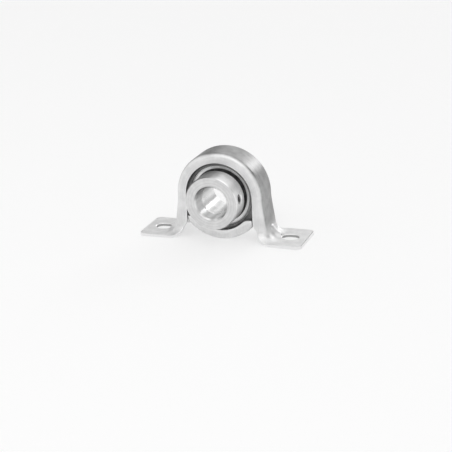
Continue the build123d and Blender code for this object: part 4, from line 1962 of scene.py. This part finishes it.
# ------------------------------------------------------------------------------ studio and camera
@dataclass
class Studio:
    """A pale floor, one soft lamp and a pale sky of long strips."""

    floor_half: float = 4.0
    floor_tone: float = 0.94
    shadow_fill: float = 0.6
    sky_strength: float = 0.98
    behind_from: float = 0.6
    behind_full: float = 0.82
    lamp_place: Place = (0.0, -0.65, 0.8)
    lamp_aim: Place = (0.0, 0.0, 0.02)
    lamp_size: tuple[float, float] = (1.8, 0.5)
    lamp_watts: float = 2.6
    strips: Stops = (
        (0.0, 1.0), (0.1, 1.0), (0.16, 0.15), (0.24, 0.15), (0.3, 1.15), (0.36, 1.1),
        (0.42, 1.15), (0.56, 1.15), (0.62, 0.25), (0.72, 0.25), (0.8, 0.95), (1.0, 0.95),
    )
    back_strips: Stops = (
        (0.0, 0.7), (0.13, 0.7), (0.19, 1.35), (0.225, 4.4), (0.275, 4.4), (0.31, 1.9),
        (0.38, 1.45), (0.44, 1.1), (0.6, 1.1), (0.7, 1.15), (0.78, 0.95), (0.87, 0.1), (1.0, 0.05),
    )

    def make_floor(self) -> None:
        """Lays the floor, which the camera sees as plain white where no shadow falls."""
        Bench.deselect()
        bpy.ops.mesh.primitive_plane_add(size=2 * self.floor_half, location=(0.0, 0.0, 0.0))
        floor = bpy.context.object
        floor.name = "studio_floor"
        material = bpy.data.materials.new("studio_paper")
        material.use_nodes = True
        desk = NodeDesk(material.node_tree)
        shader = desk.add("BsdfPrincipled")
        shader.inputs["Base Color"].default_value = grey(self.floor_tone)
        shader.inputs["Roughness"].default_value = 0.9
        shader.inputs["Specular IOR Level"].default_value = 0.1
        # Rays that show the paper find it partly white by itself, which softens the shadow.
        paths = desk.add("LightPath").outputs
        shown = desk.math("MAXIMUM", paths["Is Camera Ray"], desk.math(
            "MAXIMUM", paths["Is Glossy Ray"], paths["Is Transmission Ray"]))
        share = desk.math("MULTIPLY", shown, self.shadow_fill)
        white = desk.add("Emission", {"Strength": 1.0})
        paper = desk.add("MixShader", {0: share, 1: shader.outputs[0], 2: white.outputs[0]})
        desk.add("OutputMaterial", {"Surface": paper.outputs[0]})
        floor.data.materials.append(material)
        floor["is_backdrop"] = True

    def make_world(self) -> None:
        """Lights the sky in long strips of light and shade that run along the shaft."""
        world = bpy.data.worlds.new("studio_sky")
        bpy.context.scene.world = world
        world.use_nodes = True
        desk = NodeDesk(world.node_tree)
        parts = desk.add("SeparateXYZ", {0: desk.add("TexCoord").outputs["Generated"]})
        x, y, z = (parts.outputs[key] for key in "XYZ")
        turn = desk.math("DIVIDE", desk.math("ARCTAN2", z, x), math.pi)
        ahead, behind = desk.ramp(turn, self.strips), desk.ramp(turn, self.back_strips)
        share = desk.spread(y, self.behind_from, self.behind_full)
        level = desk.add("Mix", {"Factor": share, 6: ahead, 7: behind}, data_type="RGBA").outputs[2]
        light = desk.add("Background", {"Color": level, "Strength": self.sky_strength})
        desk.add("OutputWorld", {"Surface": light.outputs[0]})

    def make_lamp(self) -> None:
        """Adds a long soft lamp that looks at the bearing."""
        bpy.ops.object.light_add(type="AREA", location=self.lamp_place)
        lamp = bpy.context.object
        lamp.name = "front_strip_lamp"
        lamp.data.shape = "RECTANGLE"
        lamp.data.size, lamp.data.size_y = self.lamp_size
        lamp.data.energy = self.lamp_watts
        way = Vector(self.lamp_aim) - Vector(self.lamp_place)
        lamp.rotation_euler = way.to_track_quat("-Z", "Y").to_euler()

    def build(self) -> None:
        """Builds the whole studio."""
        self.make_floor()
        self.make_world()
        self.make_lamp()
        log.info("studio: floor, sky and lamp")


@dataclass(frozen=True)
class Viewpoint:
    """Where the camera stands, in degrees and millimetres."""

    azimuth: float = 21.7
    elevation: float = 20.25
    roll: float = -2.84
    distance: float = 745.0
    lens: float = 93.2
    target: Place = (-0.07, -0.04, 5.6)

    def build(self) -> None:
        """Places the camera and makes it the scene's."""
        around, up = math.radians(self.azimuth), math.radians(self.elevation)
        back = Vector(
            (math.sin(around) * math.cos(up), -math.cos(around) * math.cos(up), math.sin(up))
        )
        right = Vector((math.cos(around), math.sin(around), 0.0))
        over = back.cross(right)
        turn = math.radians(self.roll)
        across = right * math.cos(turn) + over * math.sin(turn)
        upward = over * math.cos(turn) - right * math.sin(turn)
        place = (Vector(self.target) + back * self.distance) * MM
        data = bpy.data.cameras.new("viewpoint")
        data.lens = self.lens
        data.sensor_width = 36.0
        data.clip_start = 0.01
        camera = bpy.data.objects.new("viewpoint", data)
        bpy.context.scene.collection.objects.link(camera)
        turned = Matrix((across, upward, back)).transposed().to_4x4()
        camera.matrix_world = Matrix.Translation(place) @ turned
        bpy.context.scene.camera = camera
        log.info("camera: %.0f mm lens", self.lens)


def corners() -> list[list[float]]:
    """The whole object's lowest and highest corners as plain lists."""
    return [[float(value) for value in corner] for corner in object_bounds()]


def main() -> None:
    """Builds the camera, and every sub-assembly and the studio."""
    logging.basicConfig(level=logging.INFO, format="%(message)s")
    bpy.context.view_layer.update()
    Viewpoint().build()
    datum = Datum.read(frame)
    effects = Effects(datum)
    for assembly in (PressedHousing, Interliner, SealedInsert, LockingCollar):
        assembly(datum, effects).build()
    Studio().build()
    bpy.context.scene.view_settings.view_transform = "Standard"


if __name__ == "__main__":
    main()
